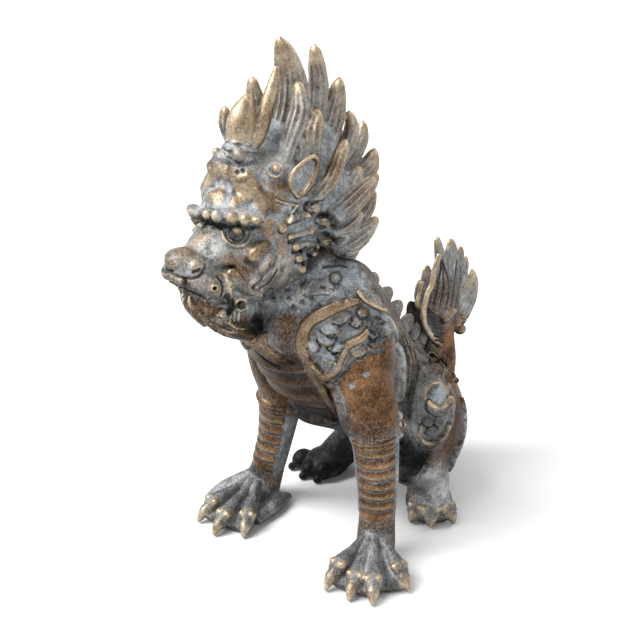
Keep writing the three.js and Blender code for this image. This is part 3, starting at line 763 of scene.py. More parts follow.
# Marks of the forehead: spots and half-width, and for humps and pits their rise and coat too.
FOREHEAD_MIST = (
    (((216, 168), (228, 176), (240, 184)), 4.2), (((246, 176), (256, 188)), 3),
    (((214, 252), (232, 258), (246, 266)), 3.2),
)
FOREHEAD_DUST = (
    (((222, 214), (246, 211)), 1.5), (((262, 178), (268, 196)), 1.3),
    (((229, 182), (229, 206)), 1), (((203, 184), (212, 181)), 1),
)
FOREHEAD_HUMPS = (
    (((218, 171), (227, 176)), 2.8, 0.3, (0.45, 0.4, 0.1, 0)),
    (((237, 198), (244, 191), (251, 184)), 2.9, 0.6, (1, 0.25, 0, 0)),
    (((210, 194), (218, 195)), 2.6, 0.4, (0.5, 0.4, 0.1, 0)),
    (((240, 178), (247, 175)), 1, 0.4, (0.5, 0.35, 0.1, 0)),
    (((258, 190), (263, 199), (263, 207)), 1.3, 0.5, (0.5, 0.5, 0.1, 0)),
    (((270, 198), (275, 206)), 1.6, 0.3, (0.4, 0.55, 0.1, 0)),
    (((267, 225), (268, 234)), 1.8, 0.35, (0.4, 0.5, 0.2, 0)),
    (((263, 243), (256, 250), (250, 257)), 1.6, 0.4, (0.5, 0.5, 0.15, 0)),
    (((230, 263), (240, 268), (244, 271)), 2, 0.5, (0.5, 0.5, 0.1, 0)),
    (((281, 241), (282, 253)), 1.4, 0.25, (0.35, 0.4, 0.35, 0)),
)
FOREHEAD_HOLLOWS = (
    (((229, 184), (230, 194), (227, 204)), 1), (((257, 174), (260, 180)), 0.8),
    (((204, 205), (214, 208), (226, 207.5)), 0.5), (((240, 207), (250, 204)), 0.7),
    (((256, 234), (262, 240)), 0.7),
)
FOREHEAD_PITS = (
    (((214, 186.5),), 0.6, -0.3, (0, 0, 0.2, 0.6)),
    (((237.5, 172.5),), 0.5, -0.4, (0, 0, 0.2, 0.7)),
    (((243, 170.5),), 0.5, -0.4, (0, 0, 0.2, 0.7)),
)


def forehead(carver):
    """Broad soft humps over the brow, bright on top, with dusty hollows between them."""
    carver.work(FOREHEAD_MIST, 0, (0.15, 0.2, 0.7, 0))
    carver.work(FOREHEAD_DUST, -0.1, (0.1, 0, 0.95, 0))
    carver.work(FOREHEAD_HUMPS)
    carver.work(FOREHEAD_HOLLOWS, -0.25, (0, 0, 0.75, 0.1))
    carver.work(FOREHEAD_PITS)


# Flames of hair on the cheek, each from its root to its tip, and the gaps between them, which hold
# painted shade.
FLAMES = (
    ((246, 287), (256, 277), (264, 265), (270, 253)),
    ((250, 289), (264, 281), (274, 269), (279, 255)),
    ((256, 291), (272, 285), (284, 273), (289, 257)),
    ((264, 293), (280, 289), (292, 280), (297, 266)),
)
FLAME_GAPS = (((250, 284), (261, 273), (267, 261)), ((257, 287), (268, 278), (276, 267)),
              ((264, 290), (277, 283), (287, 271)))
# Rows of cheek hair: the strand's spots, the middle of its coil and the coil's reach.
CURL_ROWS = (
    (((287, 220), (296, 217), (305, 214)), (311, 208), 4.4),
    (((289, 238), (298, 234.5), (307, 230), (315, 226)), (322, 221.5), 4.6),
    (((293, 248), (305, 244.5), (315, 243)), (325, 241.5), 5.4),
    (((296, 258), (306, 255.5), (315, 255.5)), (323, 256), 4.6),
    (((299, 268), (309, 266)), (318, 266.5), 4.2),
    (((297, 278), (306, 277.5)), (314, 277), 3.8),
)
# Below this the painted shadow under a row of strands is darker.
ROW_SHADOW_DARKER_BELOW = 250
CHEEK_HOLES = ((287, 284), (303, 280), (303, 262), (302, 250))


def cheek_hair(carver):
    """Flames of hair on the cheek, and rows of strands that end in coils behind it."""
    for path in FLAMES:
        carver.band(path, (0.6, 1.05, 0.95, 0.25), (0.8, 1.3, 1.4, 0.5), (0.3, 0, 0.6, 0), 0.4)
    for path in FLAME_GAPS:
        carver.stroke(path, 0.3, -0.5, (0, 0, 0.1, 0.75))
    for path, middle, reach in CURL_ROWS:
        carver.band((*path, middle), (0.5, 0.75, 0.75, 0.5), (0.7, 1, 1, 0.3), (0.1, 0.05, 0.6, 0))
        # A painted shadow lies under each row of strands.
        dark = 0.6 if middle[1] < ROW_SHADOW_DARKER_BELOW else 0.9
        carver.stroke([(u, v + 4.6) for u, v in path], 0.42, -0.5, (0, 0, 0.1, dark))
        for spot in path[::2]:
            carver.bead(spot, 0.75, (0.75, 0.15, 0.1, 0), lift=0.9)
        # Painted shade in a groove round each coil.
        carver.stroke(round_spots(*middle, reach * 1.5), 0.45, -0.5, (0, 0, 0.1, 0.6))
        coil = round_spots(*middle, reach, turns=1.4, start=200, end_share=0.3)
        carver.band(coil, 0.36, 1.3, (0.6, 0.2, 0.2, 0))
    # The holes are painted black as shade.
    for spot in CHEEK_HOLES:
        carver.stroke((spot,), 0.9, -0.9, BLACK)


# The rim of the ear round from its root and back, and the middle of its bowl: (u, v, x).
EAR_RIM = (
    (298, 198, 9.6), (291.5, 189, 9.8), (290.5, 180, 10.1), (294.5, 171, 10.5),
    (303.5, 162.5, 11), (313, 156.5, 11.4), (317, 160.5, 11.2), (316, 172, 10.6),
    (308.5, 187.5, 10.1), (298, 198, 9.6),
)
EAR_BOWL = ((299, 194, 8.8), (304, 178, 9), (313, 161, 10))
# For each ear, how its places are turned and shifted.
EARS = (((1, 1, 1), (0, 0, 0)), ((-0.8, 1, 1), (0, 2.4, -3)))


def ear_rim_coat(t, angle):
    """Rubbed brass, browner on the way back to the root."""
    back = smooth(0.55, 0.7, t)
    return np.stack([0.95 - 0.5 * back, 0.1 + 0.4 * back, 0 * t, 0 * t], axis=1)


def ears(casting):
    """A brass-edged ear on each side, its bowl grey with dust; the far one lies closer."""
    for turn, shift in EARS:
        casting.sweep([seen(*point) * turn + shift for point in EAR_RIM], 0.44, sides=10, rings=48,
                      side=(0.7, -0.7, 0), coat=ear_rim_coat)
        casting.sweep([seen(*point) * turn + shift for point in EAR_BOWL], (1.7, 2.2, 1), 0.5,
                      side=(0.7, 0.7, 0), coat=(0, 0, 0.6, 0.3))


# Patches of the beard, warm brown metal with painted shade, and its strands with their half-widths.
BEARD_WARMTH_AND_SHADE = (
    (((200, 318), (222, 332), (246, 334)), 3), (((186, 300), (194, 310)), 1.6),
    (((240, 318), (243, 330)), 1.6),
)
BEARD_STRANDS = (
    (((184, 294), (187, 304), (194, 313), (203, 322)), (0.5, 0.6, 0.6, 0.4)),
    (((190, 300), (197, 311), (207, 321), (217, 330)), (0.4, 0.6, 0.6, 0.4)),
    (((200, 312), (210, 322), (221, 329), (232, 334)), (0.4, 0.6, 0.6, 0.4)),
    (((212, 322), (224, 329), (236, 331)), (0.5, 0.6, 0.4)),
    (((196, 322), (208, 332), (224, 339)), (0.5, 0.7, 0.5)),
    (((228, 322), (236, 327), (244, 328)), (0.4, 0.5, 0.3)),
)
BEARD_RING = (240, 303.5)
# The coil on the jaw, the ring with its hole painted black as shade, and the three ribs and the
# shadows under them.
JAW_LINES = (
    (round_spots(221, 313.5, 5.4, 4.6, turns=1.4, start=180, end_share=0.25), 0.45, 0.8,
     (0.9, 0.1, 0, 0)),
    (round_spots(*BEARD_RING, 6.4), 0.5, 0.8, (0.3, 0, 0.5, 0)),
    ((BEARD_RING,), 0.8, -0.7, BLACK),
    (((231, 311), (230, 320)), 0.35, 0.5, (0.2, 0, 0.7, 0)),
    (((235, 311), (234, 320)), 0.35, 0.5, (0.2, 0, 0.7, 0)),
    (((239, 311), (238, 320)), 0.35, 0.5, (0.2, 0, 0.7, 0)),
    (((202, 308), (211, 311)), 1.8, 0.2, (0.15, 0.9, 0, 0.15)),
    (((226, 296), (232, 306), (228, 312)), 0.8, -0.5, (0, 0, 0, 0.9)),
)
BEARD_BEAD = (240.5, 303.5)


def beard(carver):
    carver.work(BEARD_WARMTH_AND_SHADE, 0, (0.1, 0.5, 0, 0.4))
    for spots, widths in BEARD_STRANDS:
        carver.band(spots, widths, 0.45, (0.45, 0.35, 0, 0.1))
        carver.stroke(spots, 0.3, 0.2, (0.55, 0.3, 0, 0))
        # A painted shadow beside each strand.
        carver.stroke([(u + 2, v - 3) for u, v in spots], 0.22, -0.3, (0, 0, 0, 0.8))
    carver.work(JAW_LINES)
    carver.bead(BEARD_BEAD, 0.3, (0.5, 0, 0.5, 0))


# The leg scutes: how far round the leg they reach in radians, how far their middle sags as a share
# of a scute, and how far they stand out as a share of the girth.
SCUTE_SPREAD = 1.15
SCUTE_SAG = 0.3
SCUTE_RISE = 0.08


def scute_place(t, angle, count, facing, edge):
    """How far round a leg a point lies, how much of a scute it is, and its place in that scute."""
    off = np.angle(np.exp(1j * (angle - facing)))
    front = 1 - smooth(SCUTE_SPREAD * edge, SCUTE_SPREAD, np.abs(off))
    place = t * count + SCUTE_SAG * (1 - np.cos(off)) * front
    return off, front, place - np.floor(place)


def scuted(count, facing):
    """Leg scutes: pillowed bands with a sagging lower lip on the side that faces `facing`."""
    def skin(t, angle):
        off, front, step = scute_place(t, angle, count, facing, 0.9)
        pillow = np.sqrt(np.clip(np.sin(math.pi * np.clip(step * 0.98 + 0.01, 0, 1)), 0, 1))
        lip = np.exp(-((step - 0.78) / 0.1) ** 2)
        ridge = np.exp(-((np.abs(off) - SCUTE_SPREAD * 1.1) / 0.1) ** 2)
        sunk = 0.3 * (1 - smooth(0, 0.14, t)) + 0.06 * smooth(0.94, 1, t)
        raised = front * (pillow + 0.3 * lip - 0.3) + 0.8 * ridge
        return t, 1 - sunk - 0.02 + SCUTE_RISE * raised
    return skin


def scute_coat(count, facing):
    """Warm scutes with a rubbed lip and gaps of dust and painted shade; the back of the leg is
    dusty.
    """
    def coat(t, angle):
        _, front, step = scute_place(t, angle, count, facing, 0.85)
        gap = np.clip(np.exp(-(step / 0.1) ** 2) + np.exp(-((1 - step) / 0.1) ** 2), 0, 1)
        # The dark share is painted shade in the gaps, and a painted shadow on each scute's upper
        # part, under the lip of the one above.
        return np.stack([
            0.6 * front * np.exp(-((step - 0.7) / 0.16) ** 2),
            0.75 * front * (1 - gap),
            0.65 * (1 - front) + 0.4 * front * gap,
            0.15 * (1 - front) + 0.5 * front * gap + 0.3 * front * (step < 0.35),
        ], axis=1)
    return coat


# For each foreleg: its path and girths, the way its scutes face in radians, and their number.
SCUTED_LEGS = ((LEFT_SHIN, LEFT_GIRTHS, -0.92, 10), (RIGHT_SHIN, RIGHT_GIRTHS, -1.6, 9))


def forelegs(casting):
    for path, girths, facing, count in SCUTED_LEGS:
        path = np.asarray(path, float)
        path[0] = path[0] * 0.45 + path[1] * 0.55
        casting.sweep(path[:4], girths[:4], sides=64, rings=120, skin=scuted(count, facing),
                      coat=scute_coat(count, facing))


def claw_coat(t, angle):
    """A claw brightens towards its tip."""
    return np.stack([0.9 * (0.25 + 0.7 * smooth(0.2, 0.9, t)), 0 * t, 0 * t, 0 * t], axis=1)


def toe(casting, ankle, tip, width, back):
    """A toe with its tendon, two bright knuckle bumps and a beak-like claw that meets the floor."""
    height = tip[2]
    ankle, tip = np.asarray(ankle, float), np.array([tip[0], tip[1], 0.4])
    way = (tip - ankle) * [1, 1, 0]
    way /= np.linalg.norm(way)
    across = np.array([-way[1], way[0], 0])

    def at(behind, z):
        place = tip - way * behind
        return np.array([place[0], place[1], z])

    knuckle = at(back, height)
    middle = (ankle + knuckle) / 2 + np.array([0, 0, -0.2])
    casting.sweep((ankle, middle, at(back + 1, height + 0.1), at(back - 1, height - 0.9)),
                  (0.9, 1, width * 0.85, width * 0.8), (1, 1, 1.6, 1.5), side=tuple(across),
                  coat=(0.05, 0.05, 0.4, 0.25))
    casting.sweep((at(back, height - 1.1), at(back * 0.5, height * 0.6), at(0.1, 0.5)),
                  (width * 0.75, width * 0.66, 0.34), (1.6, 1.4, 0.42), side=tuple(across),
                  sides=14, coat=claw_coat)
    for hand in BOTH:
        casting.ball(at(back - 0.1, height + 0.4) + across * hand * width * 0.5,
                     (0.9, 0.9, 0.9), coat=(0.9, 0, 0, 0), detail=KNUCKLE_BALL)


def foot(casting, ankle, tips, width, back):
    """Clawed toes joined by hollow webs; each tip gives where its claw stands and its height."""
    ankle = np.asarray(ankle, float)
    for tip in tips:
        reach = np.array([tip[0], tip[1], 0]) - ankle
        toe(casting, ankle + reach * [0.12, 0.12, 0], tip, width, back)
    for first, second in zip(tips, tips[1:]):
        middle = (np.array([*first[:2], 0.0]) + np.array([*second[:2], 0.0])) / 2
        way = (middle - ankle) * [1, 1, 0]
        across = np.array([-way[1], way[0], 0]) / np.linalg.norm(way)
        gap = np.linalg.norm(np.array(first[:2]) - np.array(second[:2])) * 0.5
        end = ankle + way * 0.86
        end[2] = 1.1
        # The webs are dusty and darkened by painted shade between the toes.
        casting.sweep((ankle - [0, 0, 1.6], (ankle + end) / 2 - [0, 0, 0.6], end),
                      (1.5, gap * 0.8, gap), (1.7, 1.3, 0.8), side=tuple(across),
                      coat=(0, 0.05, 0.2, 0.5))


# Each clawed foot: the ankle, the claws' tips, the toes' width and the claws' length.
CLAWED_FEET = (
    ((18, -8, 7.2), ((18.9, -22.6, 4.4), (24.2, -21.6, 3.5), (28.3, -19.4, 3.4),
                     (30.3, -11.4, 3.8)), 2, 3.8),
    ((-14.2, -9, 6.6), ((-16.2, -25.4, 4), (-10, -26.2, 3.4), (-5.2, -22.4, 3.4)), 2, 3.8),
    ((14, 13, 5.6), ((15, 6.2, 3.2), (19, 7.9, 3.2), (21.4, 12.5, 3.4)), 2.3, 2),
)
# The far hind foot hardly shows, and is painted near black as shade: the middle and half-sizes of
# its toes, and where its claws are.
FAR_TOES = (((-17.6, 6, 2.4), (2.2, 2.7, 2.3)), ((-13.8, 5, 2.1), (2, 2.6, 2)),
            ((-10.8, 6.6, 2.3), (2.3, 3, 2.2)))
FAR_CLAWS = ((-18.6, 3.6, 1), (-14, 2.6, 0.9), (-10.6, 3.8, 0.9))


def feet(casting):
    for row in CLAWED_FEET:
        foot(casting, *row)
    casting.sweep(((-15.4, -10, 6), (-17.4, -17, 4.4), (-17.2, -21.4, 3.4)), (1.8, 1.8, 1.5),
                  coat=(0.1, 0, 0.6, 0))
    casting.sweep(((-8.4, -17.4, 1.4), (-9.4, -12, 1.7), (-9.8, -8, 1.6), (-9.6, -5.4, 1.2)),
                  (2.6, 3, 2.2, 0.9), (1.2, 1.6, 1.3, 0.7), coat=(0, 0, 0.4, 0))
    for place, halves in FAR_TOES:
        casting.ball(place, halves, coat=(0, 0, 0, 0.9))
    for place in FAR_CLAWS:
        casting.ball(place, (0.9, 1, 0.9), coat=(0, 0, 0, 0.85))


# The shoulder's broad curled band from its tip over the top and down, and the one inside it.
SHOULDER_BAND = (
    (358, 301.5), (347, 302.5), (337, 306), (324, 312.5), (311, 321), (303.5, 332), (302, 343.5),
    (304, 353), (309, 362), (314.5, 374), (321.5, 386), (330, 400), (337.5, 415.5),
)
INNER_BAND = (
    (366.5, 328), (364, 334.5), (355.5, 340.5), (346.5, 344.5), (342, 351), (339, 358.5),
    (336, 366.5), (330, 372.5), (323, 373), (318, 367), (314.5, 361),
)
LEFT_BAND_WIDTHS = (0.5, 1, 1.15, 1.2, 1.2, 1.2, 1.2, 1.15, 1.1, 1, 0.9, 0.8, 0.3)
# The right one ends earlier, clear of the chest's outline.
RIGHT_BAND_WIDTHS = (0.5, 1, 1.15, 1.2, 1.2, 1.2, 1.2, 0.9, 0.4)
INNER_BAND_WIDTHS = (0.4, 0.8, 0.85, 0.85, 0.85, 0.85, 0.85, 0.85, 0.85, 0.8, 0.5)
THIN_STRAND = ((322, 374), (329, 384), (336.5, 397), (341, 410), (342, 421))
TOP_STRAND = ((357, 288.5), (366, 297), (376, 304), (383, 310))
# Scales: left and right end, half-width and coat.
PALE_SCALE = (0, 0, 0.95, 0)
BRASS_SCALE = (0.25, 0.4, 0.35, 0)
SHOULDER_SCALES = (
    ((332, 322), (351, 313.5), 0.95, BRASS_SCALE), ((320, 329), (343, 327), 1.1, PALE_SCALE),
    ((317, 338.5), (338, 337), 1.25, PALE_SCALE), ((327, 347), (341, 343.5), 1, PALE_SCALE),
    ((321, 358.5), (335, 353.5), 1.3, PALE_SCALE), ((309.5, 346), (320, 344), 1, PALE_SCALE),
    ((356, 312), (370, 312.5), 0.75, BRASS_SCALE), ((366, 325), (379, 322.5), 1.2, BRASS_SCALE),
    ((350, 323), (362, 320.5), 0.8, BRASS_SCALE), ((377, 315.5), (386, 318), 0.8, PALE_SCALE),
    ((379, 331), (388, 329), 0.95, PALE_SCALE), ((368, 343), (381.5, 340), 0.9, BRASS_SCALE),
    ((350, 353), (366, 347.5), 1.1, BRASS_SCALE), ((367.5, 334), (378, 333), 0.8, PALE_SCALE),
)
# Dusty hollows of the shoulder, with a little painted shade.
SHOULDER_HOLLOWS = (
    (((348, 326), (336, 335), (326, 348), (331, 359)), 2.7, -0.5, (0.05, 0, 0.75, 0.15)),
    (((372, 318), (376, 338)), 2.4, -0.3, (0, 0.1, 0.4, 0.3)),
)
# The warm smooth arm, its two pale marks, the brighter bands and the groove under the shoulder,
# which holds painted shade.
ARM_LINES = (
    (((357, 292), (366, 302), (378, 309), (384, 310.5)), 0.4, 0.5, (0.9, 0.1, 0, 0)),
    (((376, 366), (386, 374)), 3.8, 0, (0, 0.95, 0, 0.1), LEFT),
    (((356, 393),), 3.8, 0, (0.15, 0.95, 0, 0), LEFT),
    (((374, 395), (378, 415)), 5.4, 0, (0, 0.85, 0, 0.15), LEFT),
    (((357, 408), (364, 425)), 4, 0, (0, 0.7, 0, 0.25), LEFT),
    (((388, 350), (391, 400)), 2.2, 0, (0, 0.8, 0, 0.4), LEFT),
    (((282.5, 325),), 2.6, 0, (0, 0.7, 0.1, 0.2), LEFT),
    (((337, 384), (342, 397), (346, 408)), 0.6, 0, (0, 0, 0.4, 0.4), LEFT),
    (((352, 386),), 0.75, -0.3, (0, 0, 0.8, 0)),
    (((366.5, 374.5),), 0.75, -0.3, (0, 0, 0.8, 0)),
    (INNER_BAND, 0.6, 0, (0.5, 0.45, 0, 0)),
    (SHOULDER_BAND[1:-1], 0.8, 0, (0.4, 0.5, 0, 0), LEFT),
    (((331, 380), (344, 372), (352, 361), (368, 353), (384, 351)), 0.5, -0.4, (0, 0, 0.3, 0.5)),
)


def shoulder(carver):
    """The winged shoulder: a broad curled band, a second band inside it, and its scales."""
    warm = (0.35, 0.55, 0, 0)
    right_band = SHOULDER_BAND[:len(RIGHT_BAND_WIDTHS)]
    carver.work(SHOULDER_HOLLOWS)
    carver.band(SHOULDER_BAND, LEFT_BAND_WIDTHS, 1.2, warm, 0.5, LEFT, square=0.5)
    carver.band(right_band, RIGHT_BAND_WIDTHS, 1.2, warm, 0.5, RIGHT, square=0.5)
    carver.band(THIN_STRAND, (0.3, 0.4, 0.4, 0.35, 0.2), 0.6, (0.1, 0.1, 0.5, 0.1), hands=LEFT)
    carver.band(INNER_BAND, INNER_BAND_WIDTHS, 1.5, (0.35, 0.5, 0, 0), 0.4, square=0.5)
    for left, right, width, coat in SHOULDER_SCALES:
        carver.scale(left, right, width * 1.15, coat)
    carver.band(TOP_STRAND, (0.3, 1.1, 1.2, 0.3), 0.8, (0.2, 0.2, 0.5, 0))
    carver.work(ARM_LINES)


# Where the coats of the chest scutes lie along the ribs, and the strands beside and above them.
# The coats are warm brown metal darkened by painted shade, for the head's shadow over the chest.
CHEST_COATS = (0.4, 0.46, 0.52, 0.58, 0.64, 0.7)
CHEST_STRANDS = (
    (((243, 327), (252, 336), (262, 345), (275, 355), (286, 361), (293.5, 362.5)),
     (1.2, 1.6, 1.7, 1.6, 1, 0.3), (0.8, 1.1, 1.1, 1.1, 0.8, 0.3), (0.3, 0.5, 0, 0)),
    (((303, 288), (315, 291), (330, 293.5)), (1.1, 0.9, 0.3), 0.9, (0.4, 0, 0.5, 0)),
    (((310, 283), (322, 284), (333, 288.5)), (0.6, 0.9, 0.3), 0.7, (0.1, 0, 0.6, 0)),
)
# Shadow beside the beard and under the chest's strand, painted black, the dusty neck, and a ringed
# bead above the shoulder, with painted shade in the grooves round it and above it.
NECK_LINES = (
    (((251, 300), (254, 314), (259, 326)), 1.7, -0.9, BLACK),
    (((262, 312), (270, 322), (274, 334)), 1.6, 0, (0, 0.1, 0.4, 0.35)),
    (((249, 342), (262, 356), (278, 366)), 0.9, -0.6, BLACK, LEFT),
    (((270, 305), (290, 300), (310, 296)), 2.4, 0.3, (0, 0, 0.9, 0)),
    (((322, 288), (336, 288), (347, 289)), 2, 0, (0, 0, 0.9, 0)),
    (((300, 270), (325, 273), (345, 276)), 4, 0, (0, 0, 0.75, 0.05)),
    (((352, 270), (358, 280)), 2.6, 0, (0, 0, 0.75, 0.05)),
    (((335.5, 277.5),), 1.1, 0.5, (0.1, 0, 0.6, 0)),
    (round_spots(335.5, 277.5, 6.6), 0.34, -0.35, (0, 0, 0.2, 0.5)),
    (((324, 267), (336, 265), (346, 267)), 0.36, -0.4, (0, 0, 0.1, 0.6)),
)
# Lumps that fill the neck behind the beard, spread by the golden turn.
NECK_LUMPS = 44
NECK_MIDDLE = (306, 296)
NECK_REACH = (40, 17)


def chest(carver):
    """Wide smooth scutes down the chest in painted shade, parted by fine grooves of dust and
    painted shade.
    """
    for t in CHEST_COATS:
        carver.stroke(trunk_point(np.full(7, t), math.pi + np.linspace(-0.7, 0.7, 7)), 3.4, 0,
                      (0, 0.75, 0, 0.86), LEFT)
    for k, t in enumerate(CHEST_LINES):
        reach = 0.42 + 0.06 * k
        angles = math.pi + np.linspace(-reach, reach, 9)
        carver.stroke(trunk_point(np.full(9, t + 0.012), angles), 0.9, 0.3, (0.05, 0.75, 0, 0.6),
                      LEFT)
        carver.stroke(trunk_point(np.full(9, t), angles), 0.3, -0.45, (0, 0, 0.4, 0.6), LEFT)
    carver.bands(CHEST_STRANDS)
    carver.work(NECK_LINES)
    for k in range(NECK_LUMPS):
        turn, reach = k * GOLDEN_TURN, (k / NECK_LUMPS) ** 0.5
        spot = (NECK_MIDDLE[0] + NECK_REACH[0] * math.cos(turn) * reach,
                NECK_MIDDLE[1] + NECK_REACH[1] * math.sin(turn) * reach)
        carver.stroke((spot,), 0.4 + 0.1 * (k % 4), 0.35 - 0.3 * (k % 3),
                      (0.15, 0, 0.95, 0) if k % 3 else (0, 0.1, 0.2, 0.5), LEFT)


# Combed fields of the flank: their first and last line, the number of grooves and their coat,
# whose dark share is painted shade.
COMBED_FIELDS = (
    (((390, 318), (397, 336), (402, 357), (403, 378), (402, 398), (399, 418)),
     ((402, 332), (411, 347), (416, 362), (416, 380), (412, 400), (407, 420)), 6,
     (0, 0.1, 0.2, 0.6)),
    (((406, 338), (418, 352), (428, 362), (437, 374)),
     ((416, 338), (432, 350), (446, 363), (457, 383)), 6, (0, 0.2, 0.2, 0.5)),
)
# Long strands of the flank: spots, half-width, and how pale they are.
FLANK_STRANDS = (
    (((386, 317), (394, 333), (399.5, 352), (402, 374), (401, 398), (398, 418)), 0.8, 0.95),
    (((393, 323), (401, 338), (407, 357), (409, 378), (407, 398)), 0.55, 0.15),
    (((398, 328), (407, 344), (412.5, 361), (414.5, 380), (412, 398)), 0.5, 0.1),
    (((401, 334), (411, 348), (417, 362), (419, 374)), 0.55, 0.2),
    (((406, 338), (419, 351), (430, 362), (441, 376)), 0.55, 0.05),
    (((411, 340), (426, 352), (439, 364), (451, 381)), 0.6, 0.05),
    (((417, 341), (433, 352), (446, 364), (456, 382)), 0.65, 0.1),
)
# The dark ground under the flank's strands.
FLANK_GROUNDS = (
    (((403, 338), (408, 360), (410, 385), (406, 410)), 2.6),
    (((412, 340), (430, 356), (448, 374)), 2.6),
)
# A deep gap between the strands, painted dark as shade, the curl that ends them and the beads below
# it.
FLANK_LINES = (
    (((407, 350), (410, 372), (406, 396)), 0.5, -0.4, (0, 0, 0, 0.9), LEFT),
    (((401, 424),), 1.6, 0.6, (0.1, 0, 0.6, 0)),
    (round_spots(401, 424, 5.4, turns=1.4, start=250, end_share=0.2), 0.36, 0.7,
     (0.5, 0.1, 0.4, 0)),
)
FLANK_BEADS = ((399, 435), (402, 444), (401, 453), (403, 462))


def combed(carver, first, last, count, coat):
    """Fine grooves combed side by side between two lines of the photograph."""
    for k in range(count):
        share = (k + 0.5) / count
        spots = [(u0 + (u1 - u0) * share, v0 + (v1 - v0) * share)
                 for (u0, v0), (u1, v1) in zip(first, last)]
        carver.stroke(spots, 0.26, -0.4, coat)


def side_hair(carver):
    """Long combed strands from the spine down the flank, the foremost pale, ending in a curl."""
    carver.work(FLANK_GROUNDS, 0, (0, 0.35, 0.1, 0.4), LEFT)
    for row in COMBED_FIELDS:
        combed(carver, *row)
    for path, width, pale in FLANK_STRANDS:
        coat = (0.2 * pale, 0.3 - 0.3 * pale, pale, 0.3 - 0.3 * pale)
        widths = (0.3, *([width] * (len(path) - 2)), width * 0.6)
        carver.band(path, widths, 0.5 + 0.4 * width, coat, 0.15)
    carver.work(FLANK_LINES)
    for spot in FLANK_BEADS:
        carver.stroke((spot,), 1, 0.7, (0.05, 0, 0.8, 0), LEFT)


# Stains of the thigh laid before its ornament, and dark and pale patches by the hock laid after it:
# spots, half-width, rise, coat, side.
THIGH_STAINS = (
    (((430, 392), (431, 425)), 5, 0, (0, 0.1, 0.3, 0.4), LEFT),
    (((455, 385), (459, 405), (455, 428)), 3, 0, (0, 0.8, 0, 0.8), LEFT),
    (((462, 376), (468, 392)), 2.6, 0, (0, 0.6, 0, 0.85), LEFT),
    (((458, 440), (448, 460)), 2.4, 0, (0, 0.6, 0, 0.7), LEFT),
    (((447, 446), (434, 462)), 4, 0, (0, 0.85, 0, 0.45), LEFT),
    (((440, 352), (452, 372)), 3.4, 0, (0, 0.5, 0, 0.5), LEFT),
)
HOCK_PATCHES = (
    (((416, 455), (422, 468)), 3, 0, (0, 0, 0, 0.9), LEFT),
    (((404, 445), (408, 465)), 2.6, 0, BLACK, LEFT),
    (((408, 486), (424, 483), (440, 489)), 4.4, 0, (0.25, 0, 1, 0), LEFT),
    (((400, 486), (404, 500)), 2, 0, (0, 0, 0.3, 0.5), LEFT),
)
# The comma's edge, the crescent under its disc and the lip under the scales; and the thigh's hind
# rim, which is laid last.
THIGH_BANDS = (
    (((423.5, 368), (415.5, 380), (412.5, 400), (413, 420), (416, 434), (424, 444), (433, 444.5),
      (443, 436), (449, 423), (451.5, 407), (451, 393), (446, 384)),
     (0.3, 0.8, 0.8, 0.8, 0.8, 0.7, 0.7, 0.7, 0.6, 0.6, 0.6, 0.3), 0.8, (0.05, 0, 0.7, 0.05), 0.15),
    (((426, 401), (428, 408), (435, 412), (443, 410.5), (448.5, 404), (449, 396)),
     (0.3, 0.8, 0.95, 0.95, 0.7, 0.3), 1.1, (0.7, 0.4, 0, 0), 0.2),
    (((419, 424), (418, 433), (423.5, 440.5), (432, 441.5), (440.5, 435), (446, 424)),
     (0.3, 0.5, 0.6, 0.6, 0.5, 0.3), 1.4, (0.95, 0, 0, 0)),
)
HIND_RIM = (((461, 398), (464.5, 414), (464, 430), (458.5, 448), (451.5, 464), (449, 476)),
            (0.4, 0.9, 1, 1, 0.9, 0.5), 0.6, (0.1, 0, 0.8, 0))
DISC = (436, 395)
THIGH_SCALES = (((421, 422), (432, 418.5)), ((432, 422.5), (444, 418)),
                ((424, 431.5), (438, 427.5)))
HIND_NOTCHES = ((465, 412), (465, 421), (464, 430), (461.5, 439), (458.5, 448), (455, 457),
                (452, 466))


def haunch(carver):
    """The thigh's plate: a pale comma with a brass-edged disc above a few scales."""
    carver.work(THIGH_STAINS)
    carver.stroke((DISC,), 2.9, 0.9, (0, 0, 1, 0), flat=0.7)
    carver.stroke(round_spots(*DISC, 12, 12.6), 0.42, 0.45, (0.8, 0.1, 0, 0))
    carver.bands(THIGH_BANDS)
    for left, right in THIGH_SCALES:
        carver.scale(left, right, 1.05, (0, 0, 0.5, 0.15))
    carver.work(HOCK_PATCHES)
    carver.band(*HIND_RIM)
    # Each notch is a groove holding painted shade.
    for u, v in HIND_NOTCHES:
        carver.stroke(((u - 3, v - 1), (u + 2, v + 1)), 0.3, -0.2, (0, 0, 0.3, 0.4))


# Spine fins from the neck to the tail: where each stands in the photograph, and its size.
FINS = ((369, 284, 3.4), (384, 297, 3.1), (394.5, 310, 3), (406, 322.5, 2.7), (414, 331, 2.2),
        (422, 338, 2), (429, 345, 1.8), (436, 353, 1.8))
FIN_UP = np.array([0, 0.62, 0.78])
FIN_BACK = np.array([0, 0.78, -0.62])


def fins(casting):
    """Rounded ribbed leaves along the spine that lean towards the tail."""
    for u, v, size in FINS:
        centre = seen(u, v, 0)
        casting.sweep((centre - FIN_UP * size * 0.9,
                       centre + FIN_UP * size * 0.1 + FIN_BACK * 0.1 * size,
                       centre + FIN_UP * size * 0.75 + FIN_BACK * 0.45 * size),
                      (size * 0.6, size * 0.85, size * 0.3), (1.3, 1.1, 0.5), side=tuple(FIN_BACK),
                      sides=48, rings=18, skin=lock_skin(12, 0.24), coat=lock_coat(12, 0.1, 0.15))


PALM = ((443, 349), (441, 340), (441, 328), (441, 308), (444, 292), (449, 274), (452.5, 258))


def tail_plate(casting, coat):
    casting.sweep(seen_path(PALM, 0.2), (1.6, 3, 5.2, 5.8, 5.6, 5.2, 4.2),
                  (1.6, 1.7, 1.9, 2, 1.7, 1.3, 0.9), side=BACKWARD, sides=32, coat=coat)


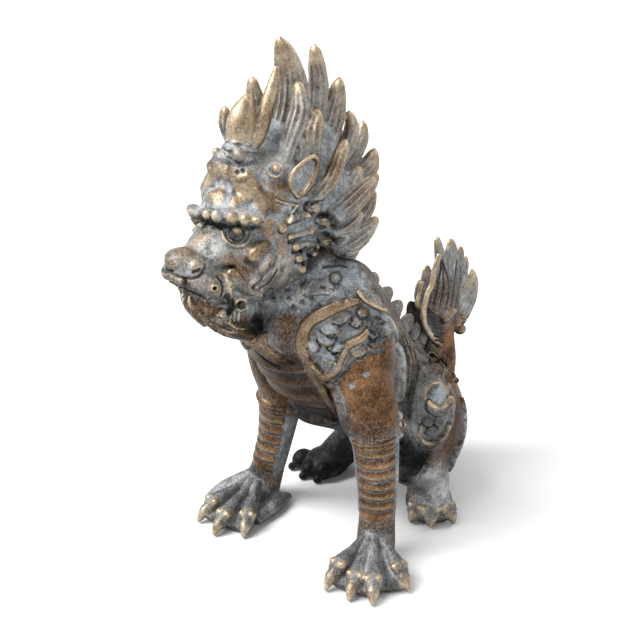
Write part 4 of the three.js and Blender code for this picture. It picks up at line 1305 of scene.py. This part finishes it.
# Fingers and side leaves of the tail tuft: (u, v, x), half-widths, and how dark they are.
TUFT = (
    (((441, 280, 0.2), (440.5, 262, 0.2), (438.5, 248, 0.1), (436.5, 236.5, 0)),
     (2, 1.8, 1.4, 0.7), 0),
    (((450, 338, -1.6), (438, 334, -2), (424, 326, -2.2), (413, 317, -2.2), (407, 312, -2)),
     (2, 3, 3, 2.4, 1), 0.9),
    (((449, 275, 0.3), (450.5, 260, 0.3), (451, 248, 0.2), (450.5, 238, 0)),
     (2.4, 2.2, 1.8, 0.7), 0),
    (((456, 275, 0.2), (458.5, 262, 0.2), (460, 253, 0.1), (460, 246, 0)), (1.8, 1.7, 1.3, 0.6), 0),
    (((459, 286, 0.1), (463.5, 273, 0), (465.5, 264, 0), (465.5, 255.5, 0)),
     (1.6, 1.4, 1.1, 0.5), 0),
    (((456, 328, 0), (463, 313, 0.1), (470, 298, 0.1), (473.5, 283, 0), (471, 268, 0)),
     (1.6, 2.4, 2.2, 1.6, 0.6), 0),
    (((456, 322, -0.4), (461, 305, -0.4), (466, 290, -0.4), (466, 274, -0.4)),
     (2, 2.4, 2.2, 1.2), 0),
    (((434, 308, -1), (429, 292, -1), (427, 278, -1), (426.5, 265, -1)), (2.4, 2.2, 1.9, 0.8), 0.1),
    (((430, 322, -1.2), (423, 306, -1.2), (420, 292, -1.2), (419.5, 279.5, -1.2)),
     (2.2, 2, 1.8, 0.7), 0.3),
    (((434, 338, -1.6), (422, 328, -1.6), (413, 314, -1.6), (409.5, 301, -1.6)),
     (1.6, 2.2, 2, 0.8), 0.8),
)
# The palm's bright front edge, a short second edge before it, and the grooves between fingers,
# painted dark as shade.
PALM_RIM = ((440, 254), (434.5, 270), (432, 284), (427.5, 294), (424.5, 306), (423.5, 317),
            (426, 328), (433, 338), (441, 345))
OUTER_RIM = ((422, 281), (420.5, 292), (417.5, 303), (421, 312))
FINGER_GAPS = (((441, 262), (438, 285), (434, 303)), ((446, 258), (443.5, 284), (440, 306)),
               ((451, 256), (449, 284), (446, 308)), ((456, 260), (454, 286), (451, 306)),
               ((461, 268), (458.5, 290), (455, 308)))
# Bumps at the root of the tuft: place (u, v, x) and radius; and the arch over them.
ROOT_BUMPS = ((444, 319, 1.9, 1.1), (461, 319, 1.2, 1.3), (460, 329, 1.2, 1.4),
              (449, 315, 2, 0.9), (456, 323, 1.6, 1.2))
ROOT_ARCH = ((446, 322), (450, 315), (456, 309.5))
UNDER_TAIL = ((448, 336), (451, 360), (455, 385))
PALM_GROOVES = 9


def tail(casting, carver):
    """The tuft stands like an open hand: a combed palm, fingers above and dark leaves in front."""
    tail_plate(casting, (0, 0.1, 0.3, 0.35))
    for path, widths, dark in TUFT:
        add_lock(casting, path, widths, side=BACKWARD, flat=0.55, dark=dark)
    casting.sweep(seen_path(PALM_RIM, 1.5), 0.5, 0.8, sides=10, rings=60, coat=(0.85, 0, 0.1, 0))
    casting.sweep(seen_path(OUTER_RIM, 0.2), 0.5, 0.7, sides=10, coat=(0.8, 0, 0, 0))
    # Combed grooves across the palm, painted dark as shade.
    for k in range(PALM_GROOVES):
        carver.stroke(((427 + 0.9 * k, 309 + 3.6 * k), (434 + 0.6 * k, 315 + 3.1 * k),
                       (441 + 0.2 * k, 319 + 2.9 * k)), 0.32, -0.4, (0, 0, 0, 0.7))
    for path in FINGER_GAPS:
        carver.stroke(path, 0.36, -0.45, (0, 0, 0, 0.7))
    for u, v, x, size in ROOT_BUMPS:
        casting.ball(seen(u, v, x), (size, size, size * 0.9), coat=(0.35, 0.4, 0.1, 0))
    casting.sweep(seen_path(ROOT_ARCH, 2.2), (0.5, 0.7, 0.4), coat=(0.4, 0.5, 0, 0))
    carver.stroke(UNDER_TAIL, 3.4, 0, (0, 0.8, 0, 0.3))


# Places of painted shade: the belly and the far hind leg.
SHADED = (
    (((330, 425), (350, 440)), 3.4), (((318, 455), (345, 460)), 7),
    (((300, 405), (318, 412)), 2.6), (((400, 452), (404, 480)), 2.4),
)


def shaded_under(carver):
    """Painted shade on the belly and the far hind leg, which lie in shadow."""
    carver.work(SHADED, 0, (0, 0, 0, 0.95), LEFT)


def base_of(build):
    """The plain mass alone, as one smooth skin."""
    casting = Casting()
    build(casting)
    mesh, _ = casting.finish("mass")
    return modified(mesh, ("REMESH", {"mode": "VOXEL", "voxel_size": MASS_VOXEL}),
                    ("SMOOTH", {"factor": 0.5, "iterations": MASS_SMOOTHING}))


def worked(places, normals, coats, strokes):
    """Raises or sinks the skin along each stroke, and lays the stroke's coat there."""
    order = np.argsort(places[:, 0])
    sorted_x = places[order, 0]
    lifts = np.zeros(len(places))
    for line, up, widths, rises, coat, flat in strokes:
        reach = widths.max() + STROKE_DEPTH
        low, high = line.min(axis=0) - reach, line.max(axis=0) + reach
        near = order[slice(*np.searchsorted(sorted_x, (low[0], high[0])))]
        near = near[np.all((places[near] > low) & (places[near] < high), axis=1)]
        share, rise = np.full(len(near), BEYOND), np.zeros(len(near))
        for k in range(0, len(line), STROKE_PART):
            part = slice(k, k + STROKE_PART)
            low, high = line[part].min(axis=0) - reach, line[part].max(axis=0) + reach
            spots = places[near]
            inside = np.flatnonzero(np.all((spots > low) & (spots < high), axis=1))
            gap = spots[inside, None] - line[None, part]
            out = np.sum(gap * up[None, part], axis=2)
            wide = np.sqrt(np.maximum(np.sum(gap ** 2, axis=2) - out ** 2, 0)) / widths[part]
            wide[np.abs(out) > STROKE_DEPTH] = BEYOND
            wide[normals[near[inside]] @ up[part].T < 0.1] = BEYOND
            best = wide.argmin(axis=1)
            value = wide[np.arange(len(inside)), best]
            better = value < share[inside]
            share[inside[better]] = value[better]
            rise[inside[better]] = rises[part][best[better]]
        lifts[near] += rise * (1 - smooth(flat, 1, share))
        if coat is not None:
            broad = float(smooth(0.7, 1.8, widths.max()))
            ragged = 0.3 * broad * np.sin(places[near] @ RAGGED).mean(axis=1)
            cover = (1 - smooth(0.55 - 0.35 * broad, 1.15 + 0.2 * broad, share + ragged))[:, None]
            coats[near] = coats[near] * (1 - cover) + np.asarray(coat) * cover
    return places + normals * lifts[:, None], coats


def neighbour_mean(values, edges, degree):
    """For each vertex, the mean of the values at the far ends of its edges."""
    total = np.empty_like(values)
    for axis in range(values.shape[1]):
        column = values[:, axis]
        total[:, axis] = (np.bincount(edges[:, 0], column[edges[:, 1]], len(values))
                          + np.bincount(edges[:, 1], column[edges[:, 0]], len(values)))
    return total / degree


def nearest_of(sources, places):
    """For each place, the number of the source point nearest to it."""
    tree = KDTree(len(sources))
    for i, place in enumerate(sources):
        tree.insert(place, i)
    tree.balance()
    return np.array([tree.find(place)[1] for place in places])


def cast(casting, name):
    """One closed skin over all the forms, worked by its strokes, with its relief and its coat."""
    strokes = casting.strokes
    source, coats = casting.finish(name)
    fine = modified(source, ("REMESH", {"mode": "VOXEL", "voxel_size": FINE_VOXEL}),
                    ("SMOOTH", {"factor": 0.5, "iterations": FINE_SMOOTHING}))
    flat = np.empty(len(fine.edges) * 2, np.int32)
    fine.edges.foreach_get("vertices", flat)
    edges = flat.reshape(-1, 2)
    degree = np.maximum(np.bincount(edges.ravel(), minlength=len(fine.vertices)), 1)[:, None]
    places = coordinates(fine)
    coats = coats[nearest_of(coordinates(source), places)]
    for _ in range(COAT_SMOOTHING):
        coats = neighbour_mean(coats, edges, degree)
    places, coats = worked(places, coordinates(fine, "normal"), coats, strokes)
    write_places(fine, places)
    fine.update()
    # Relief is how far the skin stands out of its own mean, over a short and a long reach.
    normals, smoothed, reliefs = coordinates(fine, "normal"), places, []
    for i in range(1, RELIEF_ROUNDS[-1] + 1):
        smoothed = neighbour_mean(smoothed, edges, degree)
        if i in RELIEF_ROUNDS:
            reliefs.append(np.sum((places - smoothed) * normals, axis=1))
    share = min(1, PIECE_FACES / (2 * len(fine.polygons)))
    thin = modified(fine, ("DECIMATE", {"ratio": share}))
    spots = coordinates(thin)
    found = nearest_of(places, spots)
    spots[:, 2] = np.maximum(spots[:, 2], 0)
    write_places(thin, spots)
    for key, values in zip(("edge", "hollow"), reliefs):
        attribute = thin.attributes.new(key, "FLOAT", "POINT")
        attribute.data.foreach_set("value", values[found].astype(np.float32))
    attribute = thin.attributes.new("coat", "FLOAT_COLOR", "POINT")
    attribute.data.foreach_set("color", coats[found].astype(np.float32).ravel())
    return thin


def placed(mesh, name):
    """The finished piece in metres, with the middle of its footprint at the origin."""
    mesh.transform(Matrix.Translation(-FOOTPRINT_MIDDLE) @ Matrix.Scale(SHARE, 4))
    mesh.polygons.foreach_set("use_smooth", [True] * len(mesh.polygons))
    return linked(bpy.data.objects.new(name, mesh))


def linear(code):
    """An sRGB hex colour as linear RGBA."""
    parts = [int(code[k:k + 2], 16) / 255 for k in (1, 3, 5)]
    return [p / 12.92 if p <= 0.04045 else ((p + 0.055) / 1.055) ** 2.4 for p in parts] + [1]


def add_node(tree, kind, settings=(), **links):
    """A node with its settings; links gives each input a value or another node's output."""
    node = tree.nodes.new("ShaderNode" + kind)
    for key, value in dict(settings).items():
        setattr(node, key, value)
    for key, value in links.items():
        name = key.replace("_", " ")
        socket = node.inputs[int(key[1:]) if key[1:].isdigit() else name]
        if isinstance(value, bpy.types.NodeSocket):
            tree.links.new(value, socket)
        else:
            socket.default_value = value
    return node


def blank_material(name):
    material = bpy.data.materials.new(name)
    material.use_nodes = True
    material.node_tree.nodes.clear()
    return material, material.node_tree


def patinated_cast_bronze():
    """Sand-cast bronze under an old brown patina.

    Dust and verdigris turn its flanks a dull blue grey, warm red-brown metal shows on the smooth
    muscles, and what hands and cloths reach is rubbed to a satin gold. Painted shade makes the deep
    lines between forms and the deepest hollows almost black, and darkens what faces down. The skin
    has the fine pits of the sand mould.
    """
    material, tree = blank_material("patinated_cast_bronze")
    smoothstep = {"interpolation_type": "SMOOTHSTEP"}
    colours = {"data_type": "RGBA"}
    highest = {"operation": "MAXIMUM"}
    scaled_sum = {"operation": "MULTIPLY_ADD"}
    clamped_sum = {"operation": "MULTIPLY_ADD", "use_clamp": True}
    where = add_node(tree, "TexCoord").outputs["Object"]
    coat = add_node(tree, "Attribute", {"attribute_name": "coat"})
    paint = add_node(tree, "SeparateColor", Color=coat.outputs["Color"])
    brass, warmth, pale = (paint.outputs[key] for key in ("Red", "Green", "Blue"))
    edge, hollow = (add_node(tree, "Attribute", {"attribute_name": name}).outputs["Fac"]
                    for name in ("edge", "hollow"))
    facing = add_node(tree, "SeparateXYZ", Vector=add_node(tree, "NewGeometry").outputs["Normal"])
    # Grain of the sand mould, drawn at 1.5 mm so that it shows, stains of 9 mm, a film of dust that
    # gathers over 14 mm, and blooms of 30 mm.
    grit, stain, film, bloom = (
        add_node(tree, "TexNoise", Vector=where, Scale=1 / size, Detail=detail,
                 Roughness=rough).outputs[0]
        for size, detail, rough in ((0.0015, 3, 0.7), (0.009, 4, 0.6), (0.014, 7, 0.72),
                                    (0.03, 3, 0.5)))
    # Each level follows a pattern or the relief between two bounds, and runs between two others.
    # Dust and wear break up over the stains and the grain. Crevice, under and pit are painted
    # shade:
    # they darken the deep lines between forms, what faces down and the deepest hollows. Pore
    # darkens the pits of the grain.
    levels = {}
    for name, source, low, high, least, most in (
            ("gritty", grit, 0.34, 0.66, 0, 1), ("filmed", film, 0.36, 0.66, 0, 1),
            ("stained", stain, 0.36, 0.64, 0, 1), ("bloomed", bloom, 0.35, 0.6, 0.55, 1),
            ("patchy", stain, 0.34, 0.6, 0.72, 1.1), ("sunk", hollow, 0.25, -0.5, 0.2, 0.85),
            ("rubbed", edge, 0.03, 0.18, 0, 0.8), ("crown", hollow, 0.15, 0.6, 0, 0.4),
            ("crevice", edge, -0.035, -0.14, 0, 0.85),
            ("under", facing.outputs["Z"], 0.35, -0.75, 0, 0.75),
            ("pit", hollow, -0.5, -1.3, 0, 0.7), ("pore", grit, 0.42, 0.3, 0, 0.25)):
        levels[name] = add_node(tree, "MapRange", smoothstep, Value=source, From_Min=low,
                                From_Max=high, To_Min=least, To_Max=most).outputs[0]
    tone = add_node(tree, "Mix", _0=0.35, _2=levels["filmed"], _3=levels["gritty"]).outputs[0]
    brown, warm, dust, gold = (
        add_node(tree, "Mix", colours, _0=share, _6=linear(dark), _7=linear(light)).outputs[2]
        for share, (dark, light) in ((levels["stained"], BROWN), (tone, WARM), (tone, DUST),
                                     (tone, GOLD)))
    rusty = add_node(tree, "Math", {"operation": "MULTIPLY"}, _0=warmth,
                     _1=levels["bloomed"]).outputs[0]
    metal = add_node(tree, "Mix", colours, _0=rusty, _6=brown, _7=warm).outputs[2]
    fleck = add_node(tree, "Math", scaled_sum, _0=levels["gritty"], _1=FLECK,
                     _2=-FLECK / 2).outputs[0]
    dusty = add_node(tree, "Math", scaled_sum, _0=pale, _1=0.7, _2=levels["sunk"]).outputs[0]
    dusty = add_node(tree, "Math", scaled_sum, _0=rusty, _1=-0.75, _2=dusty).outputs[0]
    dusty = add_node(tree, "Math", clamped_sum, _0=dusty, _1=levels["patchy"], _2=fleck).outputs[0]
    skin = add_node(tree, "Mix", colours, _0=dusty, _6=metal, _7=dust).outputs[2]
    worn = add_node(tree, "Math", highest, _0=levels["rubbed"], _1=levels["crown"]).outputs[0]
    worn = add_node(tree, "Math", scaled_sum, _0=brass, _1=0.75, _2=worn).outputs[0]
    worn = add_node(tree, "Math", clamped_sum, _0=worn, _1=levels["patchy"], _2=fleck).outputs[0]
    bright = add_node(tree, "Mix", colours, _0=worn, _6=skin, _7=gold).outputs[2]
    # The coat's dark share, mostly painted shade, the painted shade of crevice, under and pit, and
    # the grain's dark pores all draw the colour towards near black.
    shade = coat.outputs["Alpha"]
    for name in ("crevice", "under", "pit", "pore"):
        shade = add_node(tree, "Math", highest, _0=shade, _1=levels[name]).outputs[0]
    colour = add_node(tree, "Mix", colours, _0=shade, _6=bright, _7=linear(SHADE_AND_SPOT_BLACK)).outputs[2]
    metallic, matt = (
        add_node(tree, "MapRange", Value=dusty, From_Min=0, From_Max=1, To_Min=clean,
                 To_Max=covered).outputs[0] for clean, covered in ((0.95, 0.3), (0.5, 0.74)))
    roughness = add_node(tree, "Math", scaled_sum, _0=worn, _1=-0.08, _2=matt).outputs[0]
    pits = add_node(tree, "Bump", Strength=0.25, Distance=0.0005, Height=grit)
    shader = add_node(tree, "BsdfPrincipled", Base_Color=colour, Roughness=roughness,
                      Metallic=metallic, Normal=pits.outputs[0])
    add_node(tree, "OutputMaterial", Surface=shader.outputs[0])
    return material


def pale_paper():
    """Matt seamless backdrop paper: white with the least tooth, and no sheen."""
    material, tree = blank_material("pale_paper")
    where = add_node(tree, "TexCoord").outputs["Object"]
    tooth = add_node(tree, "TexNoise", Vector=where, Scale=1 / 0.004, Detail=2).outputs[0]
    tint = add_node(tree, "Mix", {"data_type": "RGBA"}, _0=tooth, _6=linear(PAPER[0]),
                    _7=linear(PAPER[1]))
    shader = add_node(tree, "BsdfPrincipled", Base_Color=tint.outputs[2], Roughness=0.9)
    add_node(tree, "OutputMaterial", Surface=shader.outputs[0])
    return material


def add_floor():
    shape = bmesh.new()
    bmesh.ops.create_grid(shape, x_segments=1, y_segments=1, size=FLOOR_REACH)
    mesh = bpy.data.meshes.new("floor")
    shape.to_mesh(mesh)
    shape.free()
    mesh.materials.append(pale_paper())
    floor = linked(bpy.data.objects.new("floor", mesh))
    floor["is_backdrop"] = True


def add_light(name, kind, settings):
    data = bpy.data.lights.new(name, kind)
    for key, value in settings.items():
        setattr(data, key, value)
    return linked(bpy.data.objects.new(name, data))


def studio():
    world = bpy.data.worlds.new("studio")
    world.use_nodes = True
    background = world.node_tree.nodes["Background"]
    background.inputs["Color"].default_value = (1, 1, 1, 1)
    background.inputs["Strength"].default_value = SKY
    bpy.context.scene.world = world
    bpy.context.scene.view_settings.view_transform = "Standard"
    sun = add_light("open_sky", "SUN", {"energy": SUN_POWER, "angle": SUN_SPREAD})
    sun.rotation_euler = Vector(SUN_FROM).to_track_quat("Z", "Y").to_euler()
    for place, size, watts in SOFTBOXES:
        lamp = add_light("softbox", "AREA", {"size": size, "energy": watts})
        lamp.location = place
        lamp.rotation_euler = (SOFTBOX_AIM - Vector(place)).to_track_quat("-Z", "Y").to_euler()


def build_body():
    base = base_of(body_masses)
    casting = Casting(base, BODY_GROUND)
    carver = Carver(casting, base)
    chest(carver)
    shoulder(carver)
    side_hair(carver)
    haunch(carver)
    forelegs(casting)
    feet(casting)
    fins(casting)
    tail(casting, carver)
    shaded_under(carver)
    return cast(casting, "qilin_body")


def build_head():
    base = base_of(head_masses)
    casting = Casting(base, HEAD_GROUND)
    carver = Carver(casting, base)
    muzzle(casting)
    face(casting, carver)
    beard(carver)
    ears(casting)
    mane(casting)
    horn(casting, carver)
    return cast(casting, "qilin_head")


add_camera()
add_floor()
studio()
bronze = patinated_cast_bronze()
for name, build in (("qilin_body", build_body), ("qilin_head", build_head)):
    piece = placed(build(), name)
    piece.data.materials.clear()
    piece.data.materials.append(bronze)
    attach(piece, "root")
    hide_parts("qilin")

[[list(corner) for corner in box] for box in (cad_box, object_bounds())]
